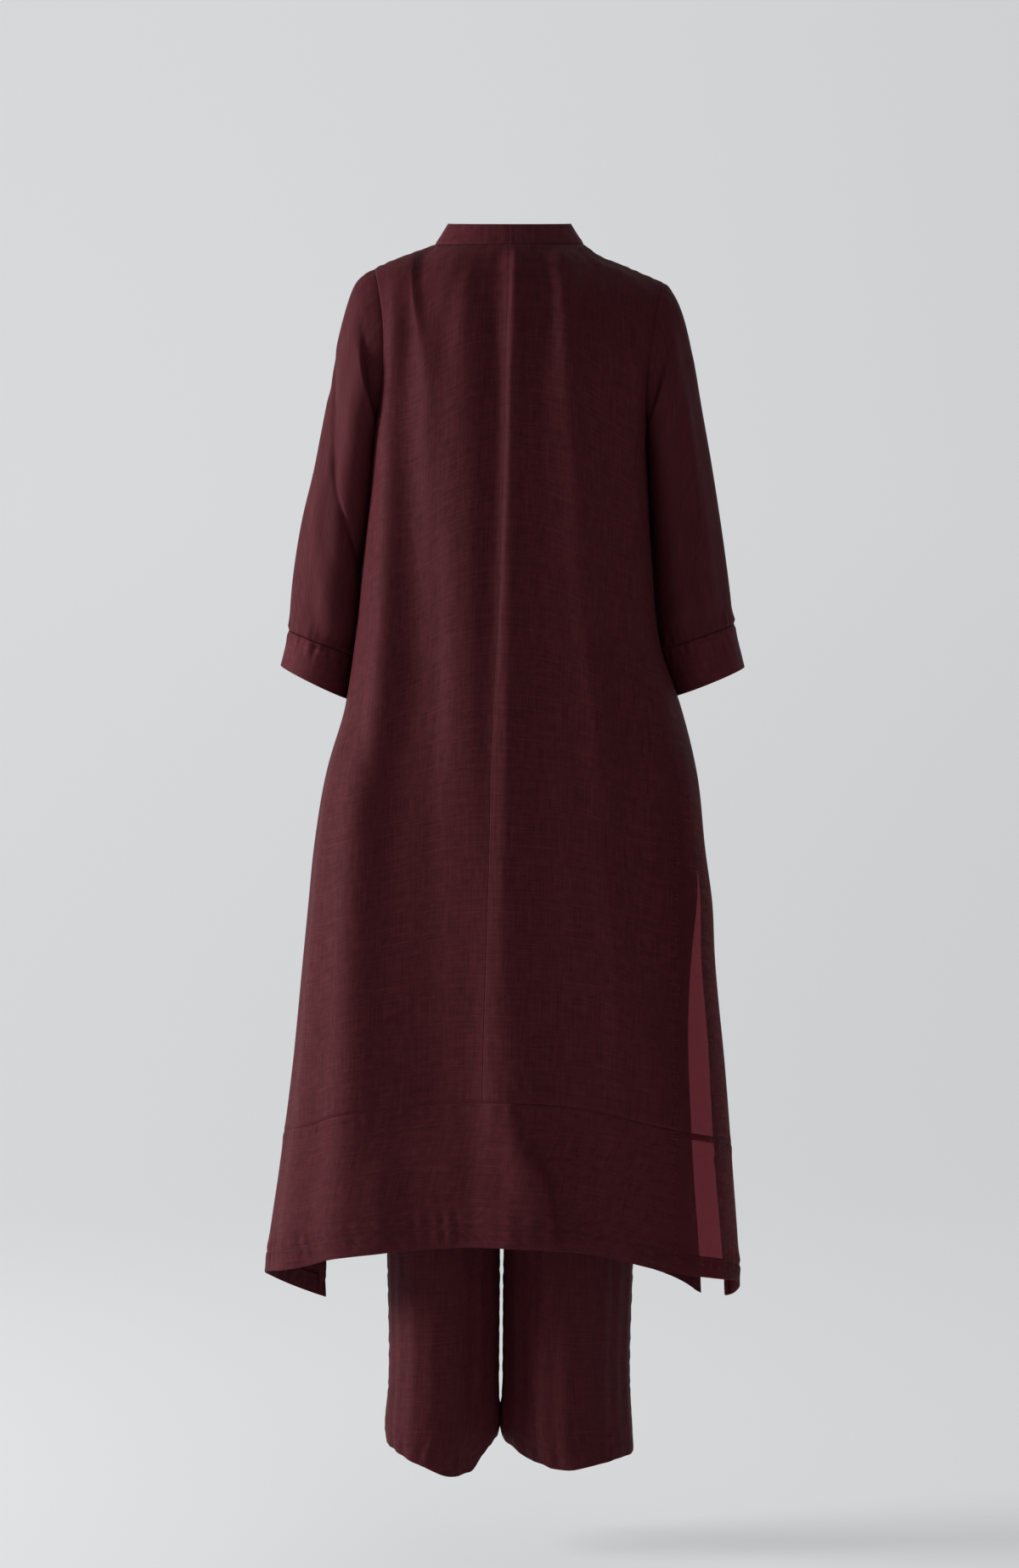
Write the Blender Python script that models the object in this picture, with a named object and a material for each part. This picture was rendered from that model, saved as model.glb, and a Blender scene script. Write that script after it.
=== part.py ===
"""A long worn tunic with straight trousers, both hollow, as open cloth shells.

Metres, +Z up. The origin is the centre of the neck opening, level with the points where the
shoulder seams meet the collar. The wearer's back faces -Y and the wearer's left is -X.
Angles round the body are turns in degrees: 0 is the centre back, 90 the right side, 180 the
centre front and -90 the left side.
"""

import math

import bpy
import numpy as np

# Cloth
CLOTH = 0.0015
BAND_CLOTH = 0.0022
SEAM_GAP = 0.0003
SIDE_GAP = 0.0006

# Neck and collar
NECK_HALF_WIDTH = 0.090
NECK_BACK = 0.060
NECK_FRONT = 0.064
NECK_BACK_DROP = 0.008
NECK_FRONT_DROP = 0.076
NECK_DROP_POWER = 1.6
NECK_LEAN_BACK = 50.0
NECK_LEAN_FRONT = 62.0
NECK_CORNER_SWING = 24.0
SHOULDER_SLOPE = 24.0
SHOULDER_BLEND = 0.5
NECK_SLIT_HALF_WIDTH = 0.011
NECK_SLIT_END = -0.290
COLLAR_GAP = 0.0005
COLLAR_HEIGHT = 0.0265
COLLAR_TOP_SHARE = 0.83
COLLAR_FORWARD = 0.006
COLLAR_ROWS = 2

# Tunic panels. A panel's columns run from its centre seam, at share 0, to its side, at share 1.
# Those up to the armhole's corner go on up to the neckline and shoulder, and the rest end in
# the lower curve of the armhole.
YOKE_ROWS = 9
BODY_ROWS = 13
NECK_SHARE = 0.33
ARMHOLE_SHARE = 0.76
NECK_STEPS_BACK, SHOULDER_STEPS_BACK = 8, 9
NECK_STEPS_FRONT, SHOULDER_STEPS_FRONT = 6, 7
SIDE_STEPS = 4
ARMHOLE_CORNER = 135.0
BAND_HEIGHT = 0.170
BAND_ROWS = 3
ARMHOLE_SET_BACK = 0.0004
YOKE_ARRIVAL = 1.12
SLOPE_STEP = 0.01
HEM_MIDDLE = -1.24
SETTLING_ROUNDS = 6

# How fast a panel's follow of its armhole fades: down the panel, across it and across the yoke,
# and how late the folds fade out below the shoulder. A higher power keeps more of the panel calm.
PULL_DOWN_POWER = 8
PULL_ACROSS_POWER = 4
YOKE_PULL_POWER = 3
FOLD_FADE_POWER = 4

# The sides hang smooth beside the sleeves: within CALM_REACH degrees of CALM_TURN, above the
# cuffs.
CALM_TURN = 92.0
CALM_REACH = 24.0
CALM_BLEND = 15.0
CALM_END = -0.56
CALM_END_BLEND = 0.12

# The shoulder seams' rise above a straight line from the neck to the sleeve.
SHOULDER_COLUMNS = ("along", "left", "right")
SHOULDERS = (
    (0.00, 0.0000, 0.0000),
    (0.20, 0.0008, -0.0042),
    (0.45, 0.0010, -0.0030),
    (0.80, 0.0012, -0.0012),
    (1.00, 0.0000, 0.0000),
)

# Half sizes of the tunic's level sections. Squareness 2 is an ellipse.
SECTION_COLUMNS = ("z", "left", "right", "back", "front", "squareness")
SECTIONS = (
    (-0.2000, 0.1625, 0.1685, 0.1170, 0.1180, 2.9),
    (-0.2345, 0.1655, 0.1655, 0.1190, 0.1200, 2.9),
    (-0.300, 0.1690, 0.1670, 0.1210, 0.1320, 2.8),
    (-0.390, 0.1780, 0.1720, 0.1225, 0.1300, 2.6),
    (-0.490, 0.1880, 0.1830, 0.1240, 0.1240, 2.5),
    (-0.560, 0.1990, 0.2070, 0.1280, 0.1220, 2.4),
    (-0.640, 0.2190, 0.2265, 0.1350, 0.1250, 2.35),
    (-0.735, 0.2355, 0.2370, 0.1400, 0.1300, 2.3),
    (-0.800, 0.2420, 0.2455, 0.1430, 0.1330, 2.27),
    (-0.860, 0.2480, 0.2482, 0.1450, 0.1360, 2.25),
    (-1.000, 0.2620, 0.2610, 0.1490, 0.1420, 2.2),
    (-1.120, 0.2780, 0.2700, 0.1530, 0.1480, 2.2),
    (-1.240, 0.2960, 0.2780, 0.1570, 0.1530, 2.2),
    (-1.300, 0.3030, 0.2800, 0.1590, 0.1550, 2.2),
)

# Turns of the seams and slit edges at each height. The set hangs a little twisted to the left.
EDGE_COLUMNS = ("z", "centre_back", "centre_front", "left_back", "left_front", "right_back", "right_front")
EDGES = (
    (-0.2345, -1.7, 180.0, -90.0, 270.0, 90.0, 90.0),
    (-0.450, -4.2, 178.0, -95.0, 265.0, 94.0, 94.0),
    (-0.600, -5.8, 177.0, -102.0, 258.0, 100.0, 100.0),
    (-0.713, -5.8, 176.5, -109.0, 251.0, 106.0, 106.2),
    (-0.840, -6.4, 176.0, -114.0, 245.5, 110.5, 117.0),
    (-0.960, -7.0, 175.5, -120.0, 239.0, 111.0, 124.0),
    (-1.080, -7.3, 175.0, -127.0, 232.0, 112.5, 125.5),
    (-1.300, -8.0, 174.0, -133.0, 225.0, 110.0, 124.5),
)

# Height of the hem at each turn, from the left slit round to it again. The flare lets the slit
# corners hang low.
HEM_COLUMNS = ("turn", "z")
HEM = (
    (-134.0, -1.2925),
    (-120.0, -1.2730),
    (-105.0, -1.2560),
    (-90.0, -1.2460),
    (-75.0, -1.2390),
    (-60.0, -1.2325),
    (-40.0, -1.2130),
    (-25.0, -1.2030),
    (0.0, -1.1980),
    (20.0, -1.2064),
    (40.0, -1.2292),
    (60.0, -1.2434),
    (75.0, -1.2509),
    (90.0, -1.2640),
    (112.0, -1.2822),
    (125.0, -1.2830),
    (133.0, -1.2715),
    (146.0, -1.2540),
    (165.0, -1.2360),
    (185.0, -1.2290),
    (205.0, -1.2330),
    (226.0, -1.2420),
)

# Hanging folds of the tunic: where each runs at the top, waist and hem, how wide it is in
# degrees at the top and hem, and how far it stands out (or lies in, below 0) at the three levels.
FOLD_TOP, FOLD_WAIST, FOLD_HEM = -0.05, -0.62, -1.23
FOLD_COLUMNS = (
    "turn_top", "turn_waist", "turn_hem", "width_top", "width_hem", "rise_top", "rise_waist", "rise_hem",
)
FOLDS = (
    (-66.0, -64.0, -62.0, 8.0, 8.0, 0.000, 0.002, 0.004),
    (-60.0, -57.5, -51.5, 6.0, 6.0, 0.000, -0.002, -0.003),
    (-57.5, -50.0, -38.0, 9.0, 9.0, 0.003, 0.004, 0.008),
    (-47.0, -35.0, -29.0, 7.0, 7.0, -0.003, -0.004, -0.003),
    (-34.0, -22.0, -16.0, 7.0, 7.0, 0.005, 0.004, 0.001),
    (-20.0, -20.0, -17.5, 8.0, 10.0, 0.000, 0.000, -0.007),
    (-5.5, -7.0, -9.0, 4.5, 6.0, -0.004, -0.003, -0.003),
    (1.4, -3.0, 2.0, 4.0, 7.0, 0.003, 0.003, 0.009),
    (7.0, 9.0, 13.0, 4.5, 7.0, -0.003, -0.003, -0.006),
    (18.0, 27.0, 31.0, 6.0, 8.0, 0.004, 0.005, 0.006),
    (24.0, 37.0, 43.0, 5.5, 8.0, -0.003, -0.004, -0.004),
    (60.0, 60.0, 58.0, 8.0, 9.0, 0.004, 0.002, 0.004),
    (126.0, 128.0, 138.0, 10.0, 9.0, 0.000, 0.003, 0.008),
    (144.0, 147.0, 153.0, 10.0, 9.0, 0.000, -0.003, -0.008),
    (162.0, 163.0, 168.0, 9.0, 9.0, 0.000, 0.004, 0.008),
    (179.0, 179.0, 184.0, 9.0, 8.0, 0.000, -0.002, -0.006),
    (196.0, 196.0, 198.0, 9.0, 9.0, 0.000, 0.004, 0.008),
    (214.0, 212.0, 213.0, 10.0, 9.0, 0.000, -0.003, -0.007),
)

# Sleeves. Each row is a ring: its outer point, how far its underside is clear of the tunic's
# side, the underside's height, half its depth, its middle's y, how far its front and back are
# scooped towards the body and how far its back hangs below its front.
SLEEVE_COLUMNS = ("outer_x", "outer_z", "clear", "inner_z", "half_depth", "middle_y", "scoop", "tilt")
SLEEVE_LEFT = (
    (0.1640, -0.0305, 0.0004, -0.2345, 0.0650, 0.0000, 0.0140, 0.0000),
    (0.1755, -0.0365, 0.0008, -0.2385, 0.0662, 0.0010, 0.0110, 0.0000),
    (0.1880, -0.0510, 0.0010, -0.2430, 0.0672, 0.0030, 0.0070, 0.0000),
    (0.1998, -0.0850, 0.0010, -0.2520, 0.0675, 0.0060, 0.0030, 0.0000),
    (0.2110, -0.1320, 0.0010, -0.2660, 0.0665, 0.0110, 0.0000, 0.0010),
    (0.2192, -0.1900, 0.0012, -0.2880, 0.0645, 0.0180, 0.0000, 0.0020),
    (0.2352, -0.2620, 0.0016, -0.3220, 0.0620, 0.0260, 0.0000, 0.0030),
    (0.2529, -0.3320, 0.0030, -0.3720, 0.0598, 0.0340, 0.0000, 0.0040),
    (0.2644, -0.4010, 0.0044, -0.4320, 0.0578, 0.0410, 0.0000, 0.0040),
    (0.2700, -0.4651, 0.0050, -0.4950, 0.0560, 0.0470, 0.0000, 0.0040),
)
CUFF_LEFT = (
    (0.2703, -0.4657, 0.0050, -0.4957, 0.0562, 0.0472, 0.0000, 0.0040),
    (0.2755, -0.4880, 0.0050, -0.5240, 0.0572, 0.0490, 0.0000, 0.0040),
    (0.2808, -0.5085, 0.0050, -0.5510, 0.0580, 0.0500, 0.0000, 0.0040),
)
SLEEVE_RIGHT = (
    (0.1862, -0.0470, 0.0004, -0.2345, 0.0650, 0.0000, 0.0085, 0.0000),
    (0.1945, -0.0530, 0.0008, -0.2385, 0.0662, 0.0010, 0.0070, 0.0000),
    (0.2060, -0.0720, 0.0010, -0.2430, 0.0672, 0.0030, 0.0040, 0.0000),
    (0.2150, -0.1000, 0.0010, -0.2520, 0.0675, 0.0060, 0.0020, 0.0000),
    (0.2240, -0.1430, 0.0010, -0.2660, 0.0665, 0.0110, 0.0000, 0.0010),
    (0.2335, -0.1960, 0.0012, -0.2880, 0.0645, 0.0180, 0.0000, 0.0020),
    (0.2458, -0.2620, 0.0018, -0.3220, 0.0620, 0.0260, 0.0000, 0.0030),
    (0.2573, -0.3310, 0.0036, -0.3720, 0.0598, 0.0340, 0.0000, 0.0040),
    (0.2670, -0.3970, 0.0044, -0.4300, 0.0578, 0.0410, 0.0000, 0.0040),
    (0.2747, -0.4574, 0.0050, -0.4890, 0.0560, 0.0470, 0.0000, 0.0040),
)
CUFF_RIGHT = (
    (0.2752, -0.4580, 0.0050, -0.4897, 0.0562, 0.0472, 0.0000, 0.0040),
    (0.2818, -0.4840, 0.0050, -0.5190, 0.0572, 0.0490, 0.0000, 0.0040),
    (0.2884, -0.5105, 0.0050, -0.5470, 0.0580, 0.0500, 0.0000, 0.0040),
)
SLEEVE_RINGS = 15
CUFF_RINGS = 3

# Creases of the sleeves: share of the sleeve's length and turn where each starts and ends,
# with the turn 0 at the outer side and 90 at the back, its width in degrees and its rise.
CREASE_COLUMNS = ("share_start", "turn_start", "share_end", "turn_end", "width", "rise")
CREASES_LEFT = (
    (0.44, 14.0, 0.86, 150.0, 18.0, -0.0038),
    (0.54, 6.0, 0.98, 112.0, 19.0, 0.0034),
)
CREASES_RIGHT = (
    (0.42, 40.0, 0.95, 62.0, 20.0, 0.0030),
    (0.46, 92.0, 0.92, 118.0, 20.0, -0.0030),
)
CREASE_FADE = 0.10

# Trousers
WAIST_TOP = -0.425
WAISTBAND_HEIGHT = 0.040
WAISTBAND_STEPS = 40
CROTCH = -0.725
CROTCH_BLEND = 0.13
CROTCH_BLEND_POWER = 0.7
LEG_GAP = 0.0010
SEAM_SLACK = 0.12
SEAT_END = 0.004
LEG_STEPS = 10
SEAT_ROWS = 6
LEG_ROWS = 11
SEAT_COLUMNS = ("z", "half_width", "back", "front")
SEAT = (
    (-0.425, 0.1270, 0.0930, 0.0880),
    (-0.465, 0.1300, 0.0950, 0.0900),
    (-0.540, 0.1520, 0.1080, 0.0980),
    (-0.640, 0.1700, 0.1180, 0.1020),
    (-0.725, 0.1740, 0.1100, 0.0990),
)
LEG_COLUMNS = ("z", "left_outer", "left_inner", "right_inner", "right_outer", "half_depth", "middle_y")
LEGS = (
    (-0.725, -0.1740, -0.0005, 0.0005, 0.1740, 0.1045, -0.0055),
    (-0.800, -0.1700, -0.0030, 0.0020, 0.1700, 0.0960, -0.0020),
    (-0.950, -0.1600, -0.0080, 0.0000, 0.1610, 0.0870, 0.0000),
    (-1.100, -0.1530, -0.0105, -0.0040, 0.1550, 0.0820, 0.0000),
    (-1.250, -0.1475, -0.0120, -0.0075, 0.1490, 0.0780, 0.0000),
    (-1.380, -0.1465, -0.0130, -0.0085, 0.1460, 0.0760, -0.0020),
    (-1.440, -0.1500, -0.0140, -0.0095, 0.1490, 0.0760, -0.0040),
    (-1.465, -0.1450, -0.0240, 0.0010, 0.1500, 0.0760, -0.0045),
    (-1.490, -0.1380, -0.0270, 0.0120, 0.1500, 0.0760, -0.0050),
)

# Height of the legs' hems at each turn: 0 the outer side, 90 the back, 180 the inseam.
LEG_HEM_COLUMNS = ("turn", "left", "right")
LEG_HEMS = (
    (-180.0, -1.4410, -1.4410),
    (-90.0, -1.4400, -1.4420),
    (0.0, -1.4500, -1.4610),
    (45.0, -1.4570, -1.4635),
    (72.0, -1.4670, -1.4665),
    (98.0, -1.4790, -1.4715),
    (125.0, -1.4790, -1.4665),
    (142.0, -1.4735, -1.4625),
    (155.0, -1.4520, -1.4540),
    (180.0, -1.4410, -1.4410),
)

# Folds of the legs, by the same turns.
LEG_FOLD_COLUMNS = ("turn", "width", "rise_knee", "rise_hem")
LEG_FOLDS_LEFT = (
    (62.0, 22.0, 0.002, 0.005),
    (128.0, 20.0, -0.003, -0.006),
    (-60.0, 22.0, 0.003, 0.005),
)
LEG_FOLDS_RIGHT = (
    (38.0, 18.0, -0.002, -0.004),
    (88.0, 20.0, 0.003, 0.006),
    (136.0, 18.0, -0.003, -0.007),
    (-70.0, 22.0, 0.003, 0.005),
)
LEG_FOLD_START, LEG_FOLD_END = -0.90, -1.44

CLOTH_COLOUR = (0.105, 0.020, 0.028, 1.0)
CLOTH_ROUGHNESS = 0.72


def clear_scene():
    for old in list(bpy.data.objects):
        bpy.data.objects.remove(old)


def cloth_material():
    """One maroon cloth for every piece."""
    material = bpy.data.materials.new("maroon_cloth")
    material.use_nodes = True
    shader = material.node_tree.nodes["Principled BSDF"]
    shader.inputs["Base Color"].default_value = CLOTH_COLOUR
    shader.inputs["Roughness"].default_value = CLOTH_ROUGHNESS
    shader.inputs["Metallic"].default_value = 0.0
    return material


def read(columns, rows, name, key):
    """A table's column, smoothly between its rows, at values of its first column."""
    table = np.array(rows)
    table = table[np.argsort(table[:, 0])]
    known, values = table[:, 0], table[:, columns.index(name)]
    slopes = np.gradient(values, known)
    key = np.clip(key, known[0], known[-1])
    low = np.clip(np.searchsorted(known, key, side="right") - 1, 0, len(known) - 2)
    span = known[low + 1] - known[low]
    share = (key - known[low]) / span
    return hermite(values[low], values[low + 1], slopes[low] * span, slopes[low + 1] * span, share)


def hermite(start, end, leave, arrive, share):
    """A cubic from start to end with the given tangents."""
    square, cube = share**2, share**3
    return (
        (2 * cube - 3 * square + 1) * start
        + (cube - 2 * square + share) * leave
        + (3 * square - 2 * cube) * end
        + (cube - square) * arrive
    )


def ease(share):
    """0 to 1 with a soft start and end."""
    share = np.clip(share, 0.0, 1.0)
    return share * share * (3 - 2 * share)


def through_three(top, waist, hem, z):
    """A value that is given at the folds' three levels, smoothly between them."""
    upper = ease((FOLD_TOP - z) / (FOLD_TOP - FOLD_WAIST))
    lower = ease((FOLD_WAIST - z) / (FOLD_WAIST - FOLD_HEM))
    return top + (waist - top) * upper + (hem - waist) * lower


def fold_height(turn, z):
    """How far the hanging folds move the tunic's cloth outwards."""
    height = np.zeros(np.broadcast(turn, z).shape)
    for row in FOLDS:
        fold = dict(zip(FOLD_COLUMNS, row))
        middle = through_three(fold["turn_top"], fold["turn_waist"], fold["turn_hem"], z)
        mean_width = (fold["width_top"] + fold["width_hem"]) / 2
        width = through_three(fold["width_top"], mean_width, fold["width_hem"], z)
        rise = through_three(fold["rise_top"], fold["rise_waist"], fold["rise_hem"], z)
        away = (turn - middle + 180.0) % 360.0 - 180.0
        height = height + rise * np.exp(-((away / width) ** 2))
    return height


def side_calm(turn, z):
    """0 beside the sleeves, where the sides hang smooth, and 1 elsewhere."""
    from_side = np.abs(np.abs((turn + 180.0) % 360.0 - 180.0) - CALM_TURN)
    below_cuffs = ease((CALM_END - z) / CALM_END_BLEND)
    return np.maximum(ease((from_side - CALM_REACH) / CALM_BLEND), below_cuffs)


def body_section(turn, z, folded=True):
    """Points of the tunic's outer face on its level sections."""
    side, face = np.sin(np.radians(turn)), np.cos(np.radians(turn))
    half_width = np.where(side >= 0, section("right", z), section("left", z))
    half_depth = np.where(face >= 0, section("back", z), section("front", z))
    power = section("squareness", z)
    swell = (np.abs(side) ** power + np.abs(face) ** power) ** (-1 / power)
    x, y = half_width * swell * side, -half_depth * swell * face
    points = np.stack([x, y, np.broadcast_to(z, x.shape)], axis=-1)
    if folded:
        points = points + (fold_height(turn, z) * side_calm(turn, z))[..., None] * outwards(turn)
    return points


def section(name, z):
    return read(SECTION_COLUMNS, SECTIONS, name, z)


def outwards(turn):
    """The level direction away from the body at each turn."""
    angle = np.radians(turn)
    return np.stack([np.sin(angle), -np.cos(angle), np.zeros_like(angle)], axis=-1)


def around(turn):
    """The level direction round the body at each turn."""
    angle = np.radians(turn)
    return np.stack([np.cos(angle), np.sin(angle), np.zeros_like(angle)], axis=-1)


def tunic_side(side, z, y):
    """How far out the tunic's side lies at a height and y."""
    half_width = section("right" if side > 0 else "left", z)
    half_depth = section("front" if y > 0 else "back", z)
    power = section("squareness", z)
    return half_width * (1 - (abs(y) / half_depth) ** power) ** (1 / power)


def hem_height(turn):
    return read(HEM_COLUMNS, HEM, "z", turn)


def sleeve_row(row, side):
    """A sleeve table's row by name, with the x of its underside."""
    named = dict(zip(SLEEVE_COLUMNS, row))
    named["inner_x"] = tunic_side(side, named["inner_z"], named["middle_y"]) + named["clear"]
    return named


def ring_point(row, turn):
    """Points of a sleeve's ring. Turn 0 is the outer side, 90 the back and 180 the underarm."""
    outer = np.array([row["outer_x"], 0.0, row["outer_z"]])
    inner = np.array([row["inner_x"], 0.0, row["inner_z"]])
    angle = np.radians(np.asarray(turn, float))[..., None]
    middle = (outer + inner) / 2 + np.array([0.0, row["middle_y"], 0.0])
    depth = np.array([0.0, -row["half_depth"], -row["tilt"]])
    scoop = np.array([-row["scoop"], 0.0, 0.0])
    return middle + (outer - inner) / 2 * np.cos(angle) + depth * np.sin(angle) + scoop * np.sin(angle) ** 2


def ring_turns():
    """The turns of a sleeve's points. They match the armhole's, above and below its corner."""
    upper = np.linspace(0.0, ARMHOLE_CORNER, YOKE_ROWS + 1)
    lower = np.linspace(ARMHOLE_CORNER, 180.0, SIDE_STEPS + 1)[1:]
    half = np.concatenate([upper, lower])
    return np.concatenate([half, 360.0 - half[-2:0:-1]])


def armhole_row(side):
    return sleeve_row((SLEEVE_RIGHT if side > 0 else SLEEVE_LEFT)[0], side)


def armhole_edge(side, face, turn):
    """Points of a panel's armhole edge, just inside the sleeve's first ring."""
    points = ring_point(armhole_row(side), -face * turn)
    points[:, 0] = side * (points[:, 0] - ARMHOLE_SET_BACK)
    points[:, 1] += face * SEAM_GAP / 2
    return points


def armhole_plane(row, side):
    """The direction across the armhole's plane."""
    rise = np.array([side * (row["outer_x"] - row["inner_x"]), 0.0, row["outer_z"] - row["inner_z"]])
    across = np.array([rise[2], 0.0, -rise[0]])
    return across / np.linalg.norm(across)


def neck_steps(face):
    return NECK_STEPS_FRONT if face > 0 else NECK_STEPS_BACK


def panel_shares(face):
    """The columns of a tunic panel, from its centre seam to its side."""
    shoulder_steps = SHOULDER_STEPS_FRONT if face > 0 else SHOULDER_STEPS_BACK
    neck = np.linspace(0, NECK_SHARE, neck_steps(face) + 1)
    shoulder = np.linspace(NECK_SHARE, ARMHOLE_SHARE, shoulder_steps + 1)[1:]
    return np.concatenate([neck, shoulder, np.linspace(ARMHOLE_SHARE, 1, SIDE_STEPS + 1)[1:]])


def neck_turns(face):
    """Turns of the neckline's points on one side, from its centre, at 0, to the shoulder, at 90."""
    opening = NECK_SLIT_HALF_WIDTH if face > 0 else SEAM_GAP / 2
    return np.linspace(math.degrees(math.asin(opening / NECK_HALF_WIDTH)), 90.0, neck_steps(face) + 1)


def neck_point(side, face, turn):
    across, along = math.sin(math.radians(turn)), math.cos(math.radians(turn))
    depth = NECK_FRONT if face > 0 else NECK_BACK
    drop = NECK_FRONT_DROP * along**NECK_DROP_POWER if face > 0 else NECK_BACK_DROP * along
    return np.array([side * NECK_HALF_WIDTH * across, face * depth * along, -drop])


def top_edge(side, face):
    """The neckline and shoulder seam of a panel, and the direction in which its cloth reaches them.
    Past the neck's corner that direction swings from across the neckline to across the seam."""
    tip = armhole_edge(side, face, np.zeros(1))[0] - np.array([0.0, face * SEAM_GAP / 2, 0.0])
    neck = neck_point(side, face, 90.0)
    turns = neck_turns(face)
    around_neck = np.array([neck_point(side, face, turn) for turn in turns])
    shoulder_shares = panel_shares(face)[neck_steps(face) + 1 : -SIDE_STEPS]
    along = (shoulder_shares - NECK_SHARE) / (ARMHOLE_SHARE - NECK_SHARE)
    rise = read(SHOULDER_COLUMNS, SHOULDERS, "right" if side > 0 else "left", along)
    shoulder = neck + (tip - neck) * along[:, None] + rise[:, None] * np.array([0.0, 0.0, 1.0])
    points = np.concatenate([around_neck, shoulder]) + np.array([0.0, face * SEAM_GAP / 2, 0.0])
    fading = 1 - ease(along / SHOULDER_BLEND)
    swing = np.concatenate([NECK_CORNER_SWING * turns / 90.0, NECK_CORNER_SWING * fading])
    steepest = NECK_LEAN_FRONT if face > 0 else NECK_LEAN_BACK
    lean = SHOULDER_SLOPE + (steepest - SHOULDER_SLOPE) * np.cos(np.radians(turns))
    lean = np.concatenate([lean, SHOULDER_SLOPE * fading])
    swing, lean = np.radians(swing), np.radians(lean)
    level_way = np.stack([-side * np.sin(swing), -face * np.cos(swing), 0 * swing], axis=-1)
    return points, level_way * np.cos(lean)[:, None] + np.sin(lean)[:, None] * np.array([0.0, 0.0, 1.0])


def panel_turns(side, face, share, z):
    """Turns of a panel's columns at heights z, with half the seam's gap left at both edges."""
    centre_name = "centre_front" if face > 0 else "centre_back"
    side_name = ("right" if side > 0 else "left") + ("_front" if face > 0 else "_back")
    centre = read(EDGE_COLUMNS, EDGES, centre_name, z)
    edge = read(EDGE_COLUMNS, EDGES, side_name, z)
    way = np.sign(edge - centre)
    depth = section("front" if face > 0 else "back", z)
    slit = np.clip((z - NECK_SLIT_END) / -NECK_SLIT_END, 0.0, 1.0) if face > 0 else 0.0
    opening = SEAM_GAP / 2 + slit * NECK_SLIT_HALF_WIDTH
    first = centre + way * np.degrees(opening / depth)
    last = edge - way * np.degrees(SIDE_GAP / 2 / depth)
    return first + (last - first) * share


def body_panel(side, face):
    """A front or back half of the tunic, from the hem band's seam to the collar, shoulder and armhole."""
    shares = panel_shares(face)
    lower_turns = ARMHOLE_CORNER + (180.0 - ARMHOLE_CORNER) * (shares[-SIDE_STEPS - 1 :] - ARMHOLE_SHARE) / (
        1 - ARMHOLE_SHARE
    )
    lower_edge = armhole_edge(side, face, lower_turns)
    top_z = np.full(len(shares), lower_edge[0, 2])
    top_z[-SIDE_STEPS - 1 :] = lower_edge[:, 2]
    top_turns = panel_turns(side, face, shares, top_z)
    flat = body_section(top_turns, top_z, folded=False)
    shift = np.zeros(flat.shape)
    shift[-SIDE_STEPS - 1 :] = lower_edge - flat[-SIDE_STEPS - 1 :]
    near = (shares[:-SIDE_STEPS] / ARMHOLE_SHARE) ** PULL_ACROSS_POWER
    shift[:-SIDE_STEPS] = near[:, None] * shift[-SIDE_STEPS - 1]

    seam_z = np.full(len(shares), HEM_MIDDLE + BAND_HEIGHT)
    for _ in range(SETTLING_ROUNDS):
        seam_z = hem_height(panel_turns(side, face, shares, seam_z)) + BAND_HEIGHT + SEAM_GAP / 2
    share = np.linspace(0, 1, BODY_ROWS + 1)[:, None]
    z = seam_z + (top_z - seam_z) * share
    turns = panel_turns(side, face, np.broadcast_to(shares, z.shape), z)
    lower = body_section(turns, z) + share[..., None] ** PULL_DOWN_POWER * shift

    upper = np.full((YOKE_ROWS, len(shares), 3), np.nan)
    upper[:, :-SIDE_STEPS] = yoke_rows(side, face, (flat + shift)[:-SIDE_STEPS], top_turns[:-SIDE_STEPS])
    points = np.concatenate([lower, upper])
    centre, edge, shoulder, armhole = (np.zeros(points.shape) for _ in range(4))
    centre[: BODY_ROWS + 1, 0] = around(turns[:, 0])
    centre[BODY_ROWS + 1 :, 0] = (1.0, 0.0, 0.0)
    edge[: BODY_ROWS + 1, -1] = around(turns[:, -1])
    shoulder[-1, neck_steps(face) :] = (0.0, 1.0, 0.0)
    armhole[BODY_ROWS:, -SIDE_STEPS - 1] = armhole_plane(armhole_row(side), side)
    armhole[BODY_ROWS, -SIDE_STEPS:] = armhole_plane(armhole_row(side), side)
    return points, (centre, edge, shoulder, armhole)


def yoke_rows(side, face, base, turns):
    """The rows of a panel above the armhole's corner. Its columns curve up and over to the neckline
    and shoulder seam, and the last one follows the armhole."""
    shares = panel_shares(face)[:-SIDE_STEPS]
    top, arrive = top_edge(side, face)
    base_z = base[0, 2]
    below = body_section(turns, base_z - SLOPE_STEP, folded=False)
    leave = (body_section(turns, base_z, folded=False) - below) / SLOPE_STEP
    reach = np.linalg.norm(top - base, axis=-1, keepdims=True)
    level = np.linspace(0, 1, YOKE_ROWS + 1)[1:, None, None]
    rows = hermite(base, top, leave * reach, arrive * reach * YOKE_ARRIVAL, level)
    armhole = armhole_edge(side, face, ARMHOLE_CORNER * (1 - level[:, 0, 0]))
    nearness = (shares / ARMHOLE_SHARE) ** YOKE_PULL_POWER
    rows = rows + (armhole - rows[:, -1])[:, None] * nearness[None, :, None]
    height = base_z * (1 - level[..., 0])
    folds = fold_height(turns, height) * side_calm(turns, height) * (1 - level[..., 0] ** FOLD_FADE_POWER)
    return rows + folds[..., None] * outwards(turns)


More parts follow.
